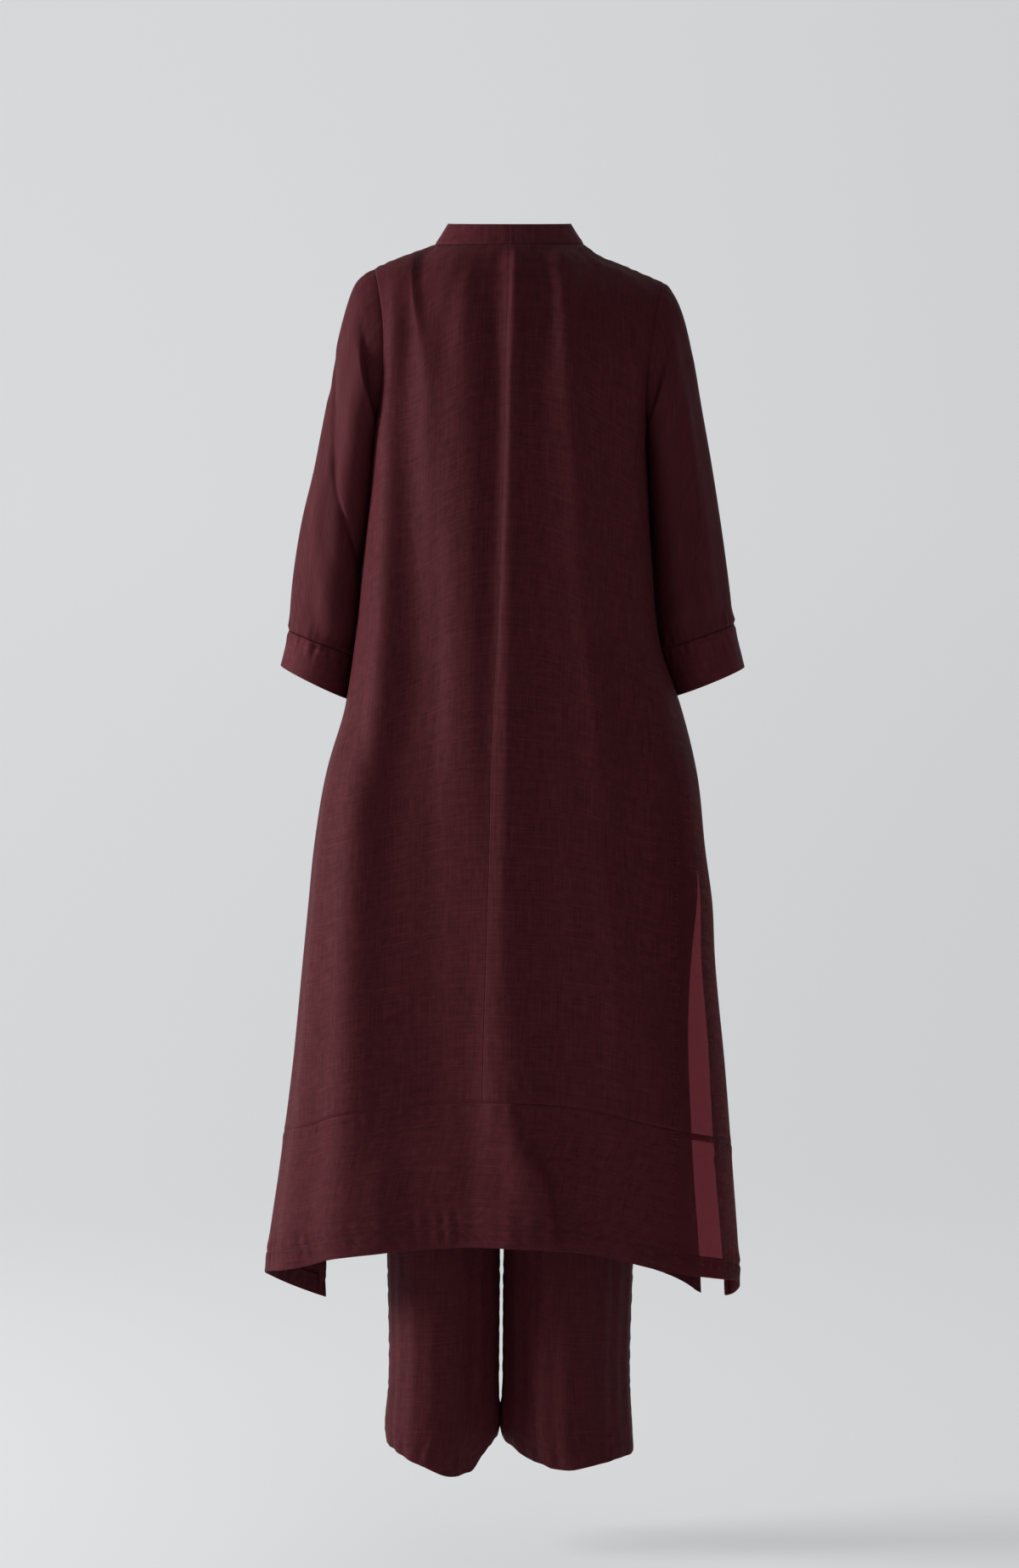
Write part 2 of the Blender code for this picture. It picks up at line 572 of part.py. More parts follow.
def hem_band(face):
    """The deep band below the tunic's panels, in one piece from slit to slit."""
    half = panel_shares(face)
    shares = np.concatenate([-half[:0:-1], half])
    share = np.linspace(0, 1, BAND_ROWS + 1)[:, None]
    z = np.full((BAND_ROWS + 1, len(shares)), HEM_MIDDLE)
    for _ in range(SETTLING_ROUNDS):
        left = panel_turns(-1, face, np.abs(shares), z)
        right = panel_turns(1, face, np.abs(shares), z)
        turns = np.where(shares < 0, left, right)
        turns[:, len(half) - 1] = (left + right)[:, len(half) - 1] / 2
        z = hem_height(turns) + (BAND_HEIGHT - SEAM_GAP / 2) * share
    return body_section(turns, z), ()


def ring_rows(table, rings, side):
    """Rings of a sleeve or cuff, smoothly through its table's rows."""
    named = [sleeve_row(row, side) for row in table]
    names = ("index", *named[0])
    keyed = [(index, *row.values()) for index, row in enumerate(named)]
    places = np.linspace(0, len(table) - 1, rings)
    rows = [{name: float(read(names, keyed, name, place)) for name in names} for place in places]
    points = np.array([ring_point(row, ring_turns()) for row in rows])
    points[..., 0] *= side
    return points


def crease_height(creases, share, turn):
    """How far a sleeve's creases move its cloth outwards."""
    height = np.zeros(np.broadcast(share, turn).shape)
    for row in creases:
        crease = dict(zip(CREASE_COLUMNS, row))
        along = (share - crease["share_start"]) / (crease["share_end"] - crease["share_start"])
        middle = crease["turn_start"] + (crease["turn_end"] - crease["turn_start"]) * along
        away = (turn - middle + 180.0) % 360.0 - 180.0
        fade = ease(along / CREASE_FADE + 0.5) * ease((1 - along) / CREASE_FADE + 0.5)
        height = height + crease["rise"] * fade * np.exp(-((away / crease["width"]) ** 2))
    return height


def pushed_out(points, height, middle):
    """Points moved out from the middle of their ring."""
    out = points - middle
    return points + out / np.linalg.norm(out, axis=-1, keepdims=True) * height[..., None]


def sleeve(side):
    table = SLEEVE_RIGHT if side > 0 else SLEEVE_LEFT
    points = ring_rows(table, SLEEVE_RINGS, side)
    share = np.linspace(0, 1, SLEEVE_RINGS)[:, None]
    creases = CREASES_RIGHT if side > 0 else CREASES_LEFT
    height = crease_height(creases, share, ring_turns()[None, :])
    points = pushed_out(points, height, points.mean(axis=1, keepdims=True))
    armhole = np.zeros(points.shape)
    armhole[0] = armhole_plane(armhole_row(side), side)
    return points, (armhole,)


def cuff(side):
    return ring_rows(CUFF_RIGHT if side > 0 else CUFF_LEFT, CUFF_RINGS, side), ()


def collar_half(side):
    """Half of the standing collar, from the centre back to the neck slit, leaning in as it rises."""
    base = [neck_point(side, -1, turn) for turn in neck_turns(-1)]
    base += [neck_point(side, 1, turn) for turn in neck_turns(1)[-2::-1]]
    base = np.array(base)
    top = base * np.array([COLLAR_TOP_SHARE, COLLAR_TOP_SHARE, 1.0])
    top += np.array([0.0, COLLAR_FORWARD, COLLAR_HEIGHT])
    top[0, 0] = base[0, 0]
    up = (top - base) / np.linalg.norm(top - base, axis=-1, keepdims=True)
    level = np.linspace(0, 1, COLLAR_ROWS + 1)[:, None, None]
    points = base + COLLAR_GAP * up + (top - base) * level
    centre = np.zeros(points.shape)
    centre[:, 0] = (1.0, 0.0, 0.0)
    return points, (centre,)


def leg_edges(side, z):
    """Where a leg's outer and inner sides lie."""
    outer = read(LEG_COLUMNS, LEGS, "right_outer" if side > 0 else "left_outer", z)
    inner = read(LEG_COLUMNS, LEGS, "right_inner" if side > 0 else "left_inner", z)
    return outer, inner


def leg_middle(side, z):
    """The middle of a leg's sections."""
    outer, inner = leg_edges(side, z)
    return np.stack([(outer + inner) / 2, read(LEG_COLUMNS, LEGS, "middle_y", z), z], axis=-1)


def leg_rows(side, turns, z):
    """Rows of a trouser leg below the crotch."""
    outer, inner = leg_edges(side, z)
    angle = np.radians(turns)
    half_depth = read(LEG_COLUMNS, LEGS, "half_depth", z)
    across = np.stack([(outer - inner) / 2 * np.cos(angle), -half_depth * np.sin(angle), 0 * z], axis=-1)
    return leg_middle(side, z) + across


def seat_row(side, shares, z):
    """Above the crotch a leg is half of the seat, and its middle moves in to the centre line."""
    rise = float(ease((z - CROTCH) / CROTCH_BLEND)) ** CROTCH_BLEND_POWER
    half_width = read(SEAT_COLUMNS, SEAT, "half_width", z)
    middle = half_width / 2 * (1 - rise)
    reach = half_width - middle
    last = math.degrees(math.acos(np.clip(-(middle - LEG_GAP / 2) / reach, -1, 1)))
    angle = np.radians(shares * last)
    depth = np.where(shares > 0, read(SEAT_COLUMNS, SEAT, "back", z), read(SEAT_COLUMNS, SEAT, "front", z))
    return np.stack([side * (middle + reach * np.cos(angle)), -depth * np.sin(angle), 0 * angle + z], axis=-1)


def leg_fold_height(folds, turns, z):
    """How far a leg's folds move its cloth outwards. They grow from the knee to the hem."""
    grown = ease((LEG_FOLD_START - z) / (LEG_FOLD_START - LEG_FOLD_END))
    height = np.zeros(np.broadcast(turns, z).shape)
    for row in folds:
        fold = dict(zip(LEG_FOLD_COLUMNS, row))
        away = (turns - fold["turn"] + 180.0) % 360.0 - 180.0
        rise = fold["rise_knee"] * np.minimum(1.0, 2 * grown) + (fold["rise_hem"] - fold["rise_knee"]) * grown
        height = height + rise * np.exp(-((away / fold["width"]) ** 2))
    return height


def trouser_panel(side, face):
    """The back or front of a trouser leg, from its outer seam to its inseam and the seat's seam."""
    first = SEAM_SLACK / 180.0
    shares = -face * np.linspace(first, 1 - first, LEG_STEPS + 1)
    turns = shares * 180.0
    seat_top = WAIST_TOP - WAISTBAND_HEIGHT - SEAM_GAP
    seat = [seat_row(side, shares, z) for z in np.linspace(seat_top, CROTCH + SEAT_END, SEAT_ROWS + 1)]
    hem = read(LEG_HEM_COLUMNS, LEG_HEMS, "right" if side > 0 else "left", turns)
    share = np.linspace(0, 1, LEG_ROWS + 1)[1:, None]
    z = CROTCH + (hem - CROTCH) * share
    legs = leg_rows(side, turns, z)
    folds = leg_fold_height(LEG_FOLDS_RIGHT if side > 0 else LEG_FOLDS_LEFT, turns, z)
    points = np.concatenate([np.array(seat), pushed_out(legs, folds, leg_middle(side, z))])
    outer, inner = np.zeros(points.shape), np.zeros(points.shape)
    outer[:, 0] = (0.0, 1.0, 0.0)
    inner[: SEAT_ROWS + 1, -1] = (1.0, 0.0, 0.0)
    inner[SEAT_ROWS + 1 :, -1] = (0.0, 1.0, 0.0)
    return points, (outer, inner)


def waistband():
    angle = np.radians(np.linspace(0, 360, WAISTBAND_STEPS, endpoint=False))
    rows = []
    for z in (WAIST_TOP, WAIST_TOP - WAISTBAND_HEIGHT):
        back, front = read(SEAT_COLUMNS, SEAT, "back", z), read(SEAT_COLUMNS, SEAT, "front", z)
        depth = np.where(np.cos(angle) > 0, back, front)
        half_width = read(SEAT_COLUMNS, SEAT, "half_width", z)
        rows.append(np.stack([half_width * np.sin(angle), -depth * np.cos(angle), 0 * angle + z], axis=-1))
    return np.array(rows), ()


def grid_faces(points, closed):
    """The triangles of a grid of points, two for each cell, cut along its shorter diagonal. Cells
    with a point that isn't there are left out."""
    rows, columns = points.shape[:2]
    flat = points.reshape(-1, 3)
    faces = []
    for row in range(rows - 1):
        for column in range(columns if closed else columns - 1):
            right = (column + 1) % columns
            a, b = row * columns + column, row * columns + right
            c, d = b + columns, a + columns
            if np.isfinite(flat[[a, b, c, d], 0]).all():
                if np.linalg.norm(flat[a] - flat[c]) <= np.linalg.norm(flat[b] - flat[d]):
                    faces += [[a, b, c], [a, c, d]]
                else:
                    faces += [[a, b, d], [b, c, d]]
    return faces


def cloth_wall(name, outer, seams, thickness, closed, middle):
    """A closed solid wall of cloth. Its outer face is the grid, and its inner face lies one
    thickness inside. Along a seam the inner face stays in the seam's plane."""
    faces = grid_faces(outer, closed)
    flat = outer.reshape(-1, 3)
    corners = flat[np.array(faces)]
    face_normals = np.cross(corners[:, 1] - corners[:, 0], corners[:, 2] - corners[:, 0])
    out = (corners.mean(axis=1) - middle) * np.array([1.0, 1.0, 0.0])
    if (face_normals * out).sum() < 0:
        faces = [face[::-1] for face in faces]
        face_normals = -face_normals
    into = np.zeros(flat.shape)
    for face, normal in zip(faces, face_normals):
        into[face] -= normal
    for plane in seams:
        plane = plane.reshape(-1, 3)
        into -= (into * plane).sum(axis=-1, keepdims=True) * plane
    length = np.linalg.norm(into, axis=-1, keepdims=True)
    inner = flat + thickness * into / np.where(length > 0, length, 1)

    under = len(flat)
    edges = {(a, b) for face in faces for a, b in zip(face, face[1:] + face[:1])}
    rims = [[b, a, under + a, under + b] for a, b in sorted(edges) if (b, a) not in edges]
    inside = [[under + i for i in reversed(face)] for face in faces]
    there = np.isfinite(flat[:, 0])
    used = np.concatenate([there, there])
    number = np.cumsum(used) - 1
    points = np.concatenate([flat, inner])[used]
    mesh = bpy.data.meshes.new(name)
    mesh.from_pydata(points.tolist(), [], [[int(number[i]) for i in face] for face in faces + inside + rims])
    mesh.update()
    mesh.shade_smooth()
    return mesh


def add_piece(collection, material, name, mesh):
    mesh.materials.append(material)
    piece = bpy.data.objects.new(name, mesh)
    collection.objects.link(piece)
    return piece


def main():
    clear_scene()
    collection = bpy.data.collections.new("kaftan_set")
    bpy.context.scene.collection.children.link(collection)
    material = cloth_material()

    def add(name, piece, thickness=CLOTH, closed=False, around_axis=False):
        points, seams = piece
        middle = np.zeros(3) if around_axis else points.mean(axis=(0, 1))
        add_piece(collection, material, name, cloth_wall(name, points, seams, thickness, closed, middle))

    for side, word in ((-1, "left"), (1, "right")):
        add(f"tunic_back_{word}", body_panel(side, -1), around_axis=True)
        add(f"tunic_front_{word}", body_panel(side, 1), around_axis=True)
        add(f"sleeve_{word}", sleeve(side), closed=True)
        add(f"cuff_{word}", cuff(side), BAND_CLOTH, closed=True)
        add(f"collar_{word}", collar_half(side), BAND_CLOTH, around_axis=True)
        add(f"trouser_back_{word}", trouser_panel(side, -1))
        add(f"trouser_front_{word}", trouser_panel(side, 1))
    add("hem_band_back", hem_band(-1), around_axis=True)
    add("hem_band_front", hem_band(1), around_axis=True)
    add("trouser_waistband", waistband(), BAND_CLOTH, closed=True)


main()
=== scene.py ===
"""Looks of the kaftan set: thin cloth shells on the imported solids' forms, with their seams,
hems, creases and weave, in a pale studio.

Metres, +Z up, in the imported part's frame: the wearer's back faces -Y and the wearer's left is
-X. Angles round the body are turns in degrees: 0 is the centre back, 90 the right side, 180 the
centre front and -90 the left side. The tables and forms are the part's own, with
finer grids. Only the main creases, the fine creases of the sleeves, the turned edges and the
seams' relief are new.
"""

import itertools
import math
from collections import namedtuple
from types import SimpleNamespace

import bpy
import numpy as np
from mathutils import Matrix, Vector

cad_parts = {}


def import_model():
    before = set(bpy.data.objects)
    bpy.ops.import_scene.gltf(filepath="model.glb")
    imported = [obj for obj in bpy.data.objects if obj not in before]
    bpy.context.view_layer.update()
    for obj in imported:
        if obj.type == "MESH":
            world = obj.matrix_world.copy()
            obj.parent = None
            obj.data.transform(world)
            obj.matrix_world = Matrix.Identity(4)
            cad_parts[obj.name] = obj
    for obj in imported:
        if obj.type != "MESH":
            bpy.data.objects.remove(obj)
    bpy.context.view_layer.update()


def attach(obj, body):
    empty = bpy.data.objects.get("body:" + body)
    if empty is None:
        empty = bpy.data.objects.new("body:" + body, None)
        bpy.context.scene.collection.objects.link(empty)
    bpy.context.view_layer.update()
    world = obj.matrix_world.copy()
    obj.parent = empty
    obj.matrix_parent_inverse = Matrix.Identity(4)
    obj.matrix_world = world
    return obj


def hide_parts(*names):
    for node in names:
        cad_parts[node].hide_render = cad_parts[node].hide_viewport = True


# The sides and faces are signs of x and y. AXIS is the body's upright axis, which most pieces lie
# round. A piece is a grid of points with the edges that are turned under, the lines of stitches,
# whether it closes on itself and the middle that it lies round.
LEFT, RIGHT = -1, 1
BACK, FRONT = -1, 1
SIDE_NAMES = {LEFT: "left", RIGHT: "right"}
FACE_NAMES = {BACK: "back", FRONT: "front"}
AXIS = (0.0, 0.0, 0.0)
UP = np.array([0.0, 0.0, 1.0])
Piece = namedtuple("Piece", "points turnings lines closed middle", defaults=((), False, AXIS))

# Thickness of the cloth, and its turned edges: widths, radii of the folds and the degrees at
# which a fold has its points. A width past a piece's own folds the whole of it double.
CLOTH = 0.0006
TURN_RADIUS = 0.0008
SIDE_TURN_RADIUS = 0.0016
HEM_TURN = 0.025
SLIT_TURN = 0.011
SEAM_ALLOWANCE = 0.008
TURN_ARC = (180.0, 150.0, 120.0, 90.0, 60.0, 30.0)
FOLDED_DOUBLE = (1.0, TURN_RADIUS)

# The edges of a grid: each one's name, whether it is a column, and the step that counts from it.
GRID_EDGES = (
    ("first_row", False, 1),
    ("last_row", False, -1),
    ("first_column", True, 1),
    ("last_column", True, -1),
)

# Neck and collar
NECK_HALF_WIDTH = 0.090
NECK_BACK = 0.060
NECK_FRONT = 0.064
NECK_BACK_DROP = 0.008
NECK_FRONT_DROP = 0.076
NECK_DROP_POWER = 1.6
NECK_LEAN_BACK = 50.0
NECK_LEAN_FRONT = 62.0
NECK_CORNER_SWING = 24.0
SHOULDER_SLOPE = 24.0
SHOULDER_BLEND = 0.5
NECK_SLIT_HALF_WIDTH = 0.011
NECK_SLIT_END = -0.290
COLLAR_GAP = 0.0003
COLLAR_HEIGHT = 0.0265
COLLAR_TOP_SHARE = 0.83
COLLAR_FORWARD = 0.006
COLLAR_ROWS = 12

# Tunic panels. A panel's columns run from its centre seam, at share 0, to its side, at share 1.
# Those up to the armhole's corner go on up to the neckline and shoulder, and the rest end in
# the lower curve of the armhole.
YOKE_ROWS = 44
BODY_ROWS = 160
NECK_SHARE = 0.33
ARMHOLE_SHARE = 0.76
SEAM_COLUMNS = (0.0, 0.0025, 0.005, 0.0085, 0.013, 0.019, 0.026)
NECK_STEPS = 22
SHOULDER_STEPS = 30
SIDE_STEPS = 24
ARMHOLE_CORNER = 135.0
BAND_HEIGHT = 0.170
BAND_ROWS = 68
BAND_COLUMNS = 300
YOKE_ARRIVAL = 1.12
SLOPE_STEP = 0.01
HEM_MIDDLE = -1.24
SETTLING_ROUNDS = 6

# How fast a panel's follow of its armhole fades: down the panel, across it and across the yoke,
# and how late the folds fade out below the shoulder. A higher power keeps more of the panel calm.
PULL_DOWN_POWER = 8
PULL_ACROSS_POWER = 4
YOKE_PULL_POWER = 3
FOLD_FADE_POWER = 4

# The sides hang smooth beside the sleeves: within CALM_REACH degrees of CALM_TURN, above the
# cuffs.
CALM_TURN = 92.0
CALM_REACH = 24.0
CALM_BLEND = 15.0
CALM_END = -0.56
CALM_END_BLEND = 0.12

# The shoulder seams' rise above a straight line from the neck to the sleeve.
SHOULDERS = (
    ("along", "left", "right"),
    (0.00, 0.0000, 0.0000),
    (0.20, 0.0008, -0.0042),
    (0.45, 0.0010, -0.0030),
    (0.80, 0.0012, -0.0012),
    (1.00, 0.0000, 0.0000),
)

# Half sizes of the tunic's level sections. Squareness 2 is an ellipse.
SECTIONS = (
    ("z", "left", "right", "back", "front", "squareness"),
    (-0.2000, 0.1625, 0.1685, 0.1170, 0.1180, 2.9),
    (-0.2345, 0.1655, 0.1655, 0.1190, 0.1200, 2.9),
    (-0.300, 0.1690, 0.1670, 0.1210, 0.1320, 2.8),
    (-0.390, 0.1780, 0.1720, 0.1225, 0.1300, 2.6),
    (-0.490, 0.1880, 0.1830, 0.1240, 0.1240, 2.5),
    (-0.560, 0.1990, 0.2070, 0.1280, 0.1220, 2.4),
    (-0.640, 0.2190, 0.2265, 0.1350, 0.1250, 2.35),
    (-0.735, 0.2355, 0.2370, 0.1400, 0.1300, 2.3),
    (-0.800, 0.2420, 0.2455, 0.1430, 0.1330, 2.27),
    (-0.860, 0.2480, 0.2482, 0.1450, 0.1360, 2.25),
    (-1.000, 0.2620, 0.2610, 0.1490, 0.1420, 2.2),
    (-1.120, 0.2780, 0.2700, 0.1530, 0.1480, 2.2),
    (-1.240, 0.2960, 0.2780, 0.1570, 0.1530, 2.2),
    (-1.300, 0.3030, 0.2800, 0.1590, 0.1550, 2.2),
)

# Turns of the seams and slit edges at each height. The set hangs a little twisted to the left.
EDGES = (
    ("z", "centre_back", "centre_front", "left_back", "left_front", "right_back", "right_front"),
    (-0.2345, -1.7, 180.0, -90.0, 270.0, 90.0, 90.0),
    (-0.450, -4.2, 178.0, -95.0, 265.0, 94.0, 94.0),
    (-0.600, -5.8, 177.0, -102.0, 258.0, 100.0, 100.0),
    (-0.713, -5.8, 176.5, -109.0, 251.0, 106.0, 106.2),
    (-0.840, -6.4, 176.0, -114.0, 245.5, 110.5, 117.0),
    (-0.960, -7.0, 175.5, -120.0, 239.0, 111.0, 124.0),
    (-1.080, -7.3, 175.0, -127.0, 232.0, 112.5, 125.5),
    (-1.300, -8.0, 174.0, -133.0, 225.0, 110.0, 124.5),
)

# Height of the hem at each turn, from the left slit round to it again. The flare lets the slit
# corners hang low.
HEM = (
    ("turn", "z"),
    (-134.0, -1.2925),
    (-120.0, -1.2730),
    (-105.0, -1.2560),
    (-90.0, -1.2460),
    (-75.0, -1.2390),
    (-60.0, -1.2325),
    (-40.0, -1.2130),
    (-25.0, -1.2030),
    (0.0, -1.1980),
    (20.0, -1.2064),
    (40.0, -1.2292),
    (60.0, -1.2434),
    (75.0, -1.2509),
    (90.0, -1.2640),
    (112.0, -1.2822),
    (125.0, -1.2830),
    (133.0, -1.2715),
    (146.0, -1.2540),
    (165.0, -1.2360),
    (185.0, -1.2290),
    (205.0, -1.2330),
    (226.0, -1.2420),
)

# Hanging folds of the tunic: where each runs at the top, waist and hem, how wide it is in
# degrees at the top and hem, and how far it stands out (or lies in, below 0) at the three levels.
FOLD_TOP, FOLD_WAIST, FOLD_HEM = -0.05, -0.62, -1.23
FOLDS = (
    ("turn_top", "turn_waist", "turn_hem", "width_top", "width_hem", "rise_top", "rise_waist", "rise_hem"),
    (-66.0, -64.0, -62.0, 8.0, 8.0, 0.000, 0.002, 0.004),
    (-60.0, -57.5, -51.5, 6.0, 6.0, 0.000, -0.002, -0.003),
    (-57.5, -50.0, -38.0, 9.0, 9.0, 0.003, 0.004, 0.008),
    (-47.0, -35.0, -29.0, 7.0, 7.0, -0.003, -0.004, -0.003),
    (-34.0, -22.0, -16.0, 7.0, 7.0, 0.005, 0.004, 0.001),
    (-20.0, -20.0, -17.5, 8.0, 10.0, 0.000, 0.000, -0.007),
    (-5.5, -7.0, -9.0, 4.5, 6.0, -0.004, -0.003, -0.003),
    (1.4, -3.0, 2.0, 4.0, 7.0, 0.003, 0.003, 0.009),
    (7.0, 9.0, 13.0, 4.5, 7.0, -0.003, -0.003, -0.006),
    (18.0, 27.0, 31.0, 6.0, 8.0, 0.004, 0.005, 0.006),
    (24.0, 37.0, 43.0, 5.5, 8.0, -0.003, -0.004, -0.004),
    (60.0, 60.0, 58.0, 8.0, 9.0, 0.004, 0.002, 0.004),
    (126.0, 128.0, 138.0, 10.0, 9.0, 0.000, 0.003, 0.008),
    (144.0, 147.0, 153.0, 10.0, 9.0, 0.000, -0.003, -0.008),
    (162.0, 163.0, 168.0, 9.0, 9.0, 0.000, 0.004, 0.008),
    (179.0, 179.0, 184.0, 9.0, 8.0, 0.000, -0.002, -0.006),
    (196.0, 196.0, 198.0, 9.0, 9.0, 0.000, 0.004, 0.008),
    (214.0, 212.0, 213.0, 10.0, 9.0, 0.000, -0.003, -0.007),
)

# Sleeves. Each row is a ring: its outer point, how far its underside is clear of the tunic's
# side, the underside's height, half its depth, its middle's y, how far its front and back are
# scooped towards the body and how far its back hangs below its front.
SLEEVE_COLUMNS = ("outer_x", "outer_z", "clear", "inner_z", "half_depth", "middle_y", "scoop", "tilt")
SLEEVE_LEFT = (
    (0.1640, -0.0305, 0.0004, -0.2345, 0.0650, 0.0000, 0.0140, 0.0000),
    (0.1755, -0.0365, 0.0008, -0.2385, 0.0662, 0.0010, 0.0110, 0.0000),
    (0.1880, -0.0510, 0.0010, -0.2430, 0.0672, 0.0030, 0.0070, 0.0000),
    (0.1998, -0.0850, 0.0010, -0.2520, 0.0675, 0.0060, 0.0030, 0.0000),
    (0.2110, -0.1320, 0.0010, -0.2660, 0.0665, 0.0110, 0.0000, 0.0010),
    (0.2192, -0.1900, 0.0012, -0.2880, 0.0645, 0.0180, 0.0000, 0.0020),
    (0.2352, -0.2620, 0.0016, -0.3220, 0.0620, 0.0260, 0.0000, 0.0030),
    (0.2529, -0.3320, 0.0030, -0.3720, 0.0598, 0.0340, 0.0000, 0.0040),
    (0.2644, -0.4010, 0.0044, -0.4320, 0.0578, 0.0410, 0.0000, 0.0040),
    (0.2700, -0.4651, 0.0050, -0.4950, 0.0560, 0.0470, 0.0000, 0.0040),
)
CUFF_LEFT = (
    (0.2703, -0.4657, 0.0050, -0.4957, 0.0562, 0.0472, 0.0000, 0.0040),
    (0.2755, -0.4880, 0.0050, -0.5240, 0.0572, 0.0490, 0.0000, 0.0040),
    (0.2808, -0.5085, 0.0050, -0.5510, 0.0580, 0.0500, 0.0000, 0.0040),
)
SLEEVE_RIGHT = (
    (0.1862, -0.0470, 0.0004, -0.2345, 0.0650, 0.0000, 0.0085, 0.0000),
    (0.1945, -0.0530, 0.0008, -0.2385, 0.0662, 0.0010, 0.0070, 0.0000),
    (0.2060, -0.0720, 0.0010, -0.2430, 0.0672, 0.0030, 0.0040, 0.0000),
    (0.2150, -0.1000, 0.0010, -0.2520, 0.0675, 0.0060, 0.0020, 0.0000),
    (0.2240, -0.1430, 0.0010, -0.2660, 0.0665, 0.0110, 0.0000, 0.0010),
    (0.2335, -0.1960, 0.0012, -0.2880, 0.0645, 0.0180, 0.0000, 0.0020),
    (0.2458, -0.2620, 0.0018, -0.3220, 0.0620, 0.0260, 0.0000, 0.0030),
    (0.2573, -0.3310, 0.0036, -0.3720, 0.0598, 0.0340, 0.0000, 0.0040),
    (0.2670, -0.3970, 0.0044, -0.4300, 0.0578, 0.0410, 0.0000, 0.0040),
    (0.2747, -0.4574, 0.0050, -0.4890, 0.0560, 0.0470, 0.0000, 0.0040),
)
CUFF_RIGHT = (
    (0.2752, -0.4580, 0.0050, -0.4897, 0.0562, 0.0472, 0.0000, 0.0040),
    (0.2818, -0.4840, 0.0050, -0.5190, 0.0572, 0.0490, 0.0000, 0.0040),
    (0.2884, -0.5105, 0.0050, -0.5470, 0.0580, 0.0500, 0.0000, 0.0040),
)
SLEEVES = {LEFT: SLEEVE_LEFT, RIGHT: SLEEVE_RIGHT}
CUFFS = {LEFT: CUFF_LEFT, RIGHT: CUFF_RIGHT}
SLEEVE_RINGS = 110
CUFF_RINGS = 26
RING_STEPS = 168

# Soft creases of the sleeves: share of the sleeve's length and turn where each starts and
# ends, with the turn 0 at the outer side and 90 at the back, its width in degrees and its
# rise. The fine ones, which the solids don't have, come second.
CREASE_COLUMNS = ("share_start", "turn_start", "share_end", "turn_end", "width", "rise")
CREASES_LEFT = (
    (0.44, 14.0, 0.86, 150.0, 18.0, -0.0038),
    (0.54, 6.0, 0.98, 112.0, 19.0, 0.0034),
)
CREASES_RIGHT = (
    (0.42, 40.0, 0.95, 62.0, 20.0, 0.0030),
    (0.46, 92.0, 0.92, 118.0, 20.0, -0.0030),
)
FINE_CREASES_LEFT = (
    (0.25, 112.0, 0.96, 118.0, 36.0, 0.0150),
    (0.46, 10.0, 0.84, 140.0, 6.0, -0.0025),
)
FINE_CREASES_RIGHT = (
    (0.25, 108.0, 0.96, 112.0, 36.0, 0.0080),
    (0.50, 60.0, 0.90, 80.0, 8.0, 0.0010),
)
CREASES = {LEFT: CREASES_LEFT, RIGHT: CREASES_RIGHT}
FINE_CREASES = {LEFT: FINE_CREASES_LEFT, RIGHT: FINE_CREASES_RIGHT}
CREASE_FADE = 0.10

# Trousers
WAIST_TOP = -0.425
WAISTBAND_HEIGHT = 0.040
WAISTBAND_STEPS = 96
WAISTBAND_ROWS = 8
CROTCH = -0.725
CROTCH_BLEND = 0.13
CROTCH_BLEND_POWER = 0.7
LEG_GAP = 0.0010
SEAM_SLACK = 0.12
SEAT_END = 0.004
LEG_STEPS = 64
SEAT_ROWS = 30
LEG_ROWS = 130
SEAT = (
    ("z", "half_width", "back", "front"),
    (-0.425, 0.1270, 0.0930, 0.0880),
    (-0.465, 0.1300, 0.0950, 0.0900),
    (-0.540, 0.1520, 0.1080, 0.0980),
    (-0.640, 0.1700, 0.1180, 0.1020),
    (-0.725, 0.1740, 0.1100, 0.0990),
)
LEGS = (
    ("z", "left_outer", "left_inner", "right_inner", "right_outer", "half_depth", "middle_y"),
    (-0.725, -0.1740, -0.0005, 0.0005, 0.1740, 0.1045, -0.0055),
    (-0.800, -0.1700, -0.0030, 0.0020, 0.1700, 0.0960, -0.0020),
    (-0.950, -0.1600, -0.0080, 0.0000, 0.1610, 0.0870, 0.0000),
    (-1.100, -0.1530, -0.0105, -0.0040, 0.1550, 0.0820, 0.0000),
    (-1.250, -0.1475, -0.0120, -0.0075, 0.1490, 0.0780, 0.0000),
    (-1.380, -0.1465, -0.0130, -0.0085, 0.1460, 0.0760, -0.0020),
    (-1.440, -0.1500, -0.0140, -0.0095, 0.1490, 0.0760, -0.0040),
    (-1.465, -0.1450, -0.0240, 0.0010, 0.1500, 0.0760, -0.0045),
    (-1.490, -0.1380, -0.0270, 0.0120, 0.1500, 0.0760, -0.0050),
)

# Height of the legs' hems at each turn: 0 the outer side, 90 the back, 180 the inseam.
LEG_HEMS = (
    ("turn", "left", "right"),
    (-180.0, -1.4410, -1.4410),
    (-90.0, -1.4400, -1.4420),
    (0.0, -1.4500, -1.4610),
    (45.0, -1.4570, -1.4635),
    (72.0, -1.4670, -1.4665),
    (98.0, -1.4790, -1.4715),
    (125.0, -1.4790, -1.4665),
    (142.0, -1.4735, -1.4625),
    (155.0, -1.4520, -1.4540),
    (180.0, -1.4410, -1.4410),
)

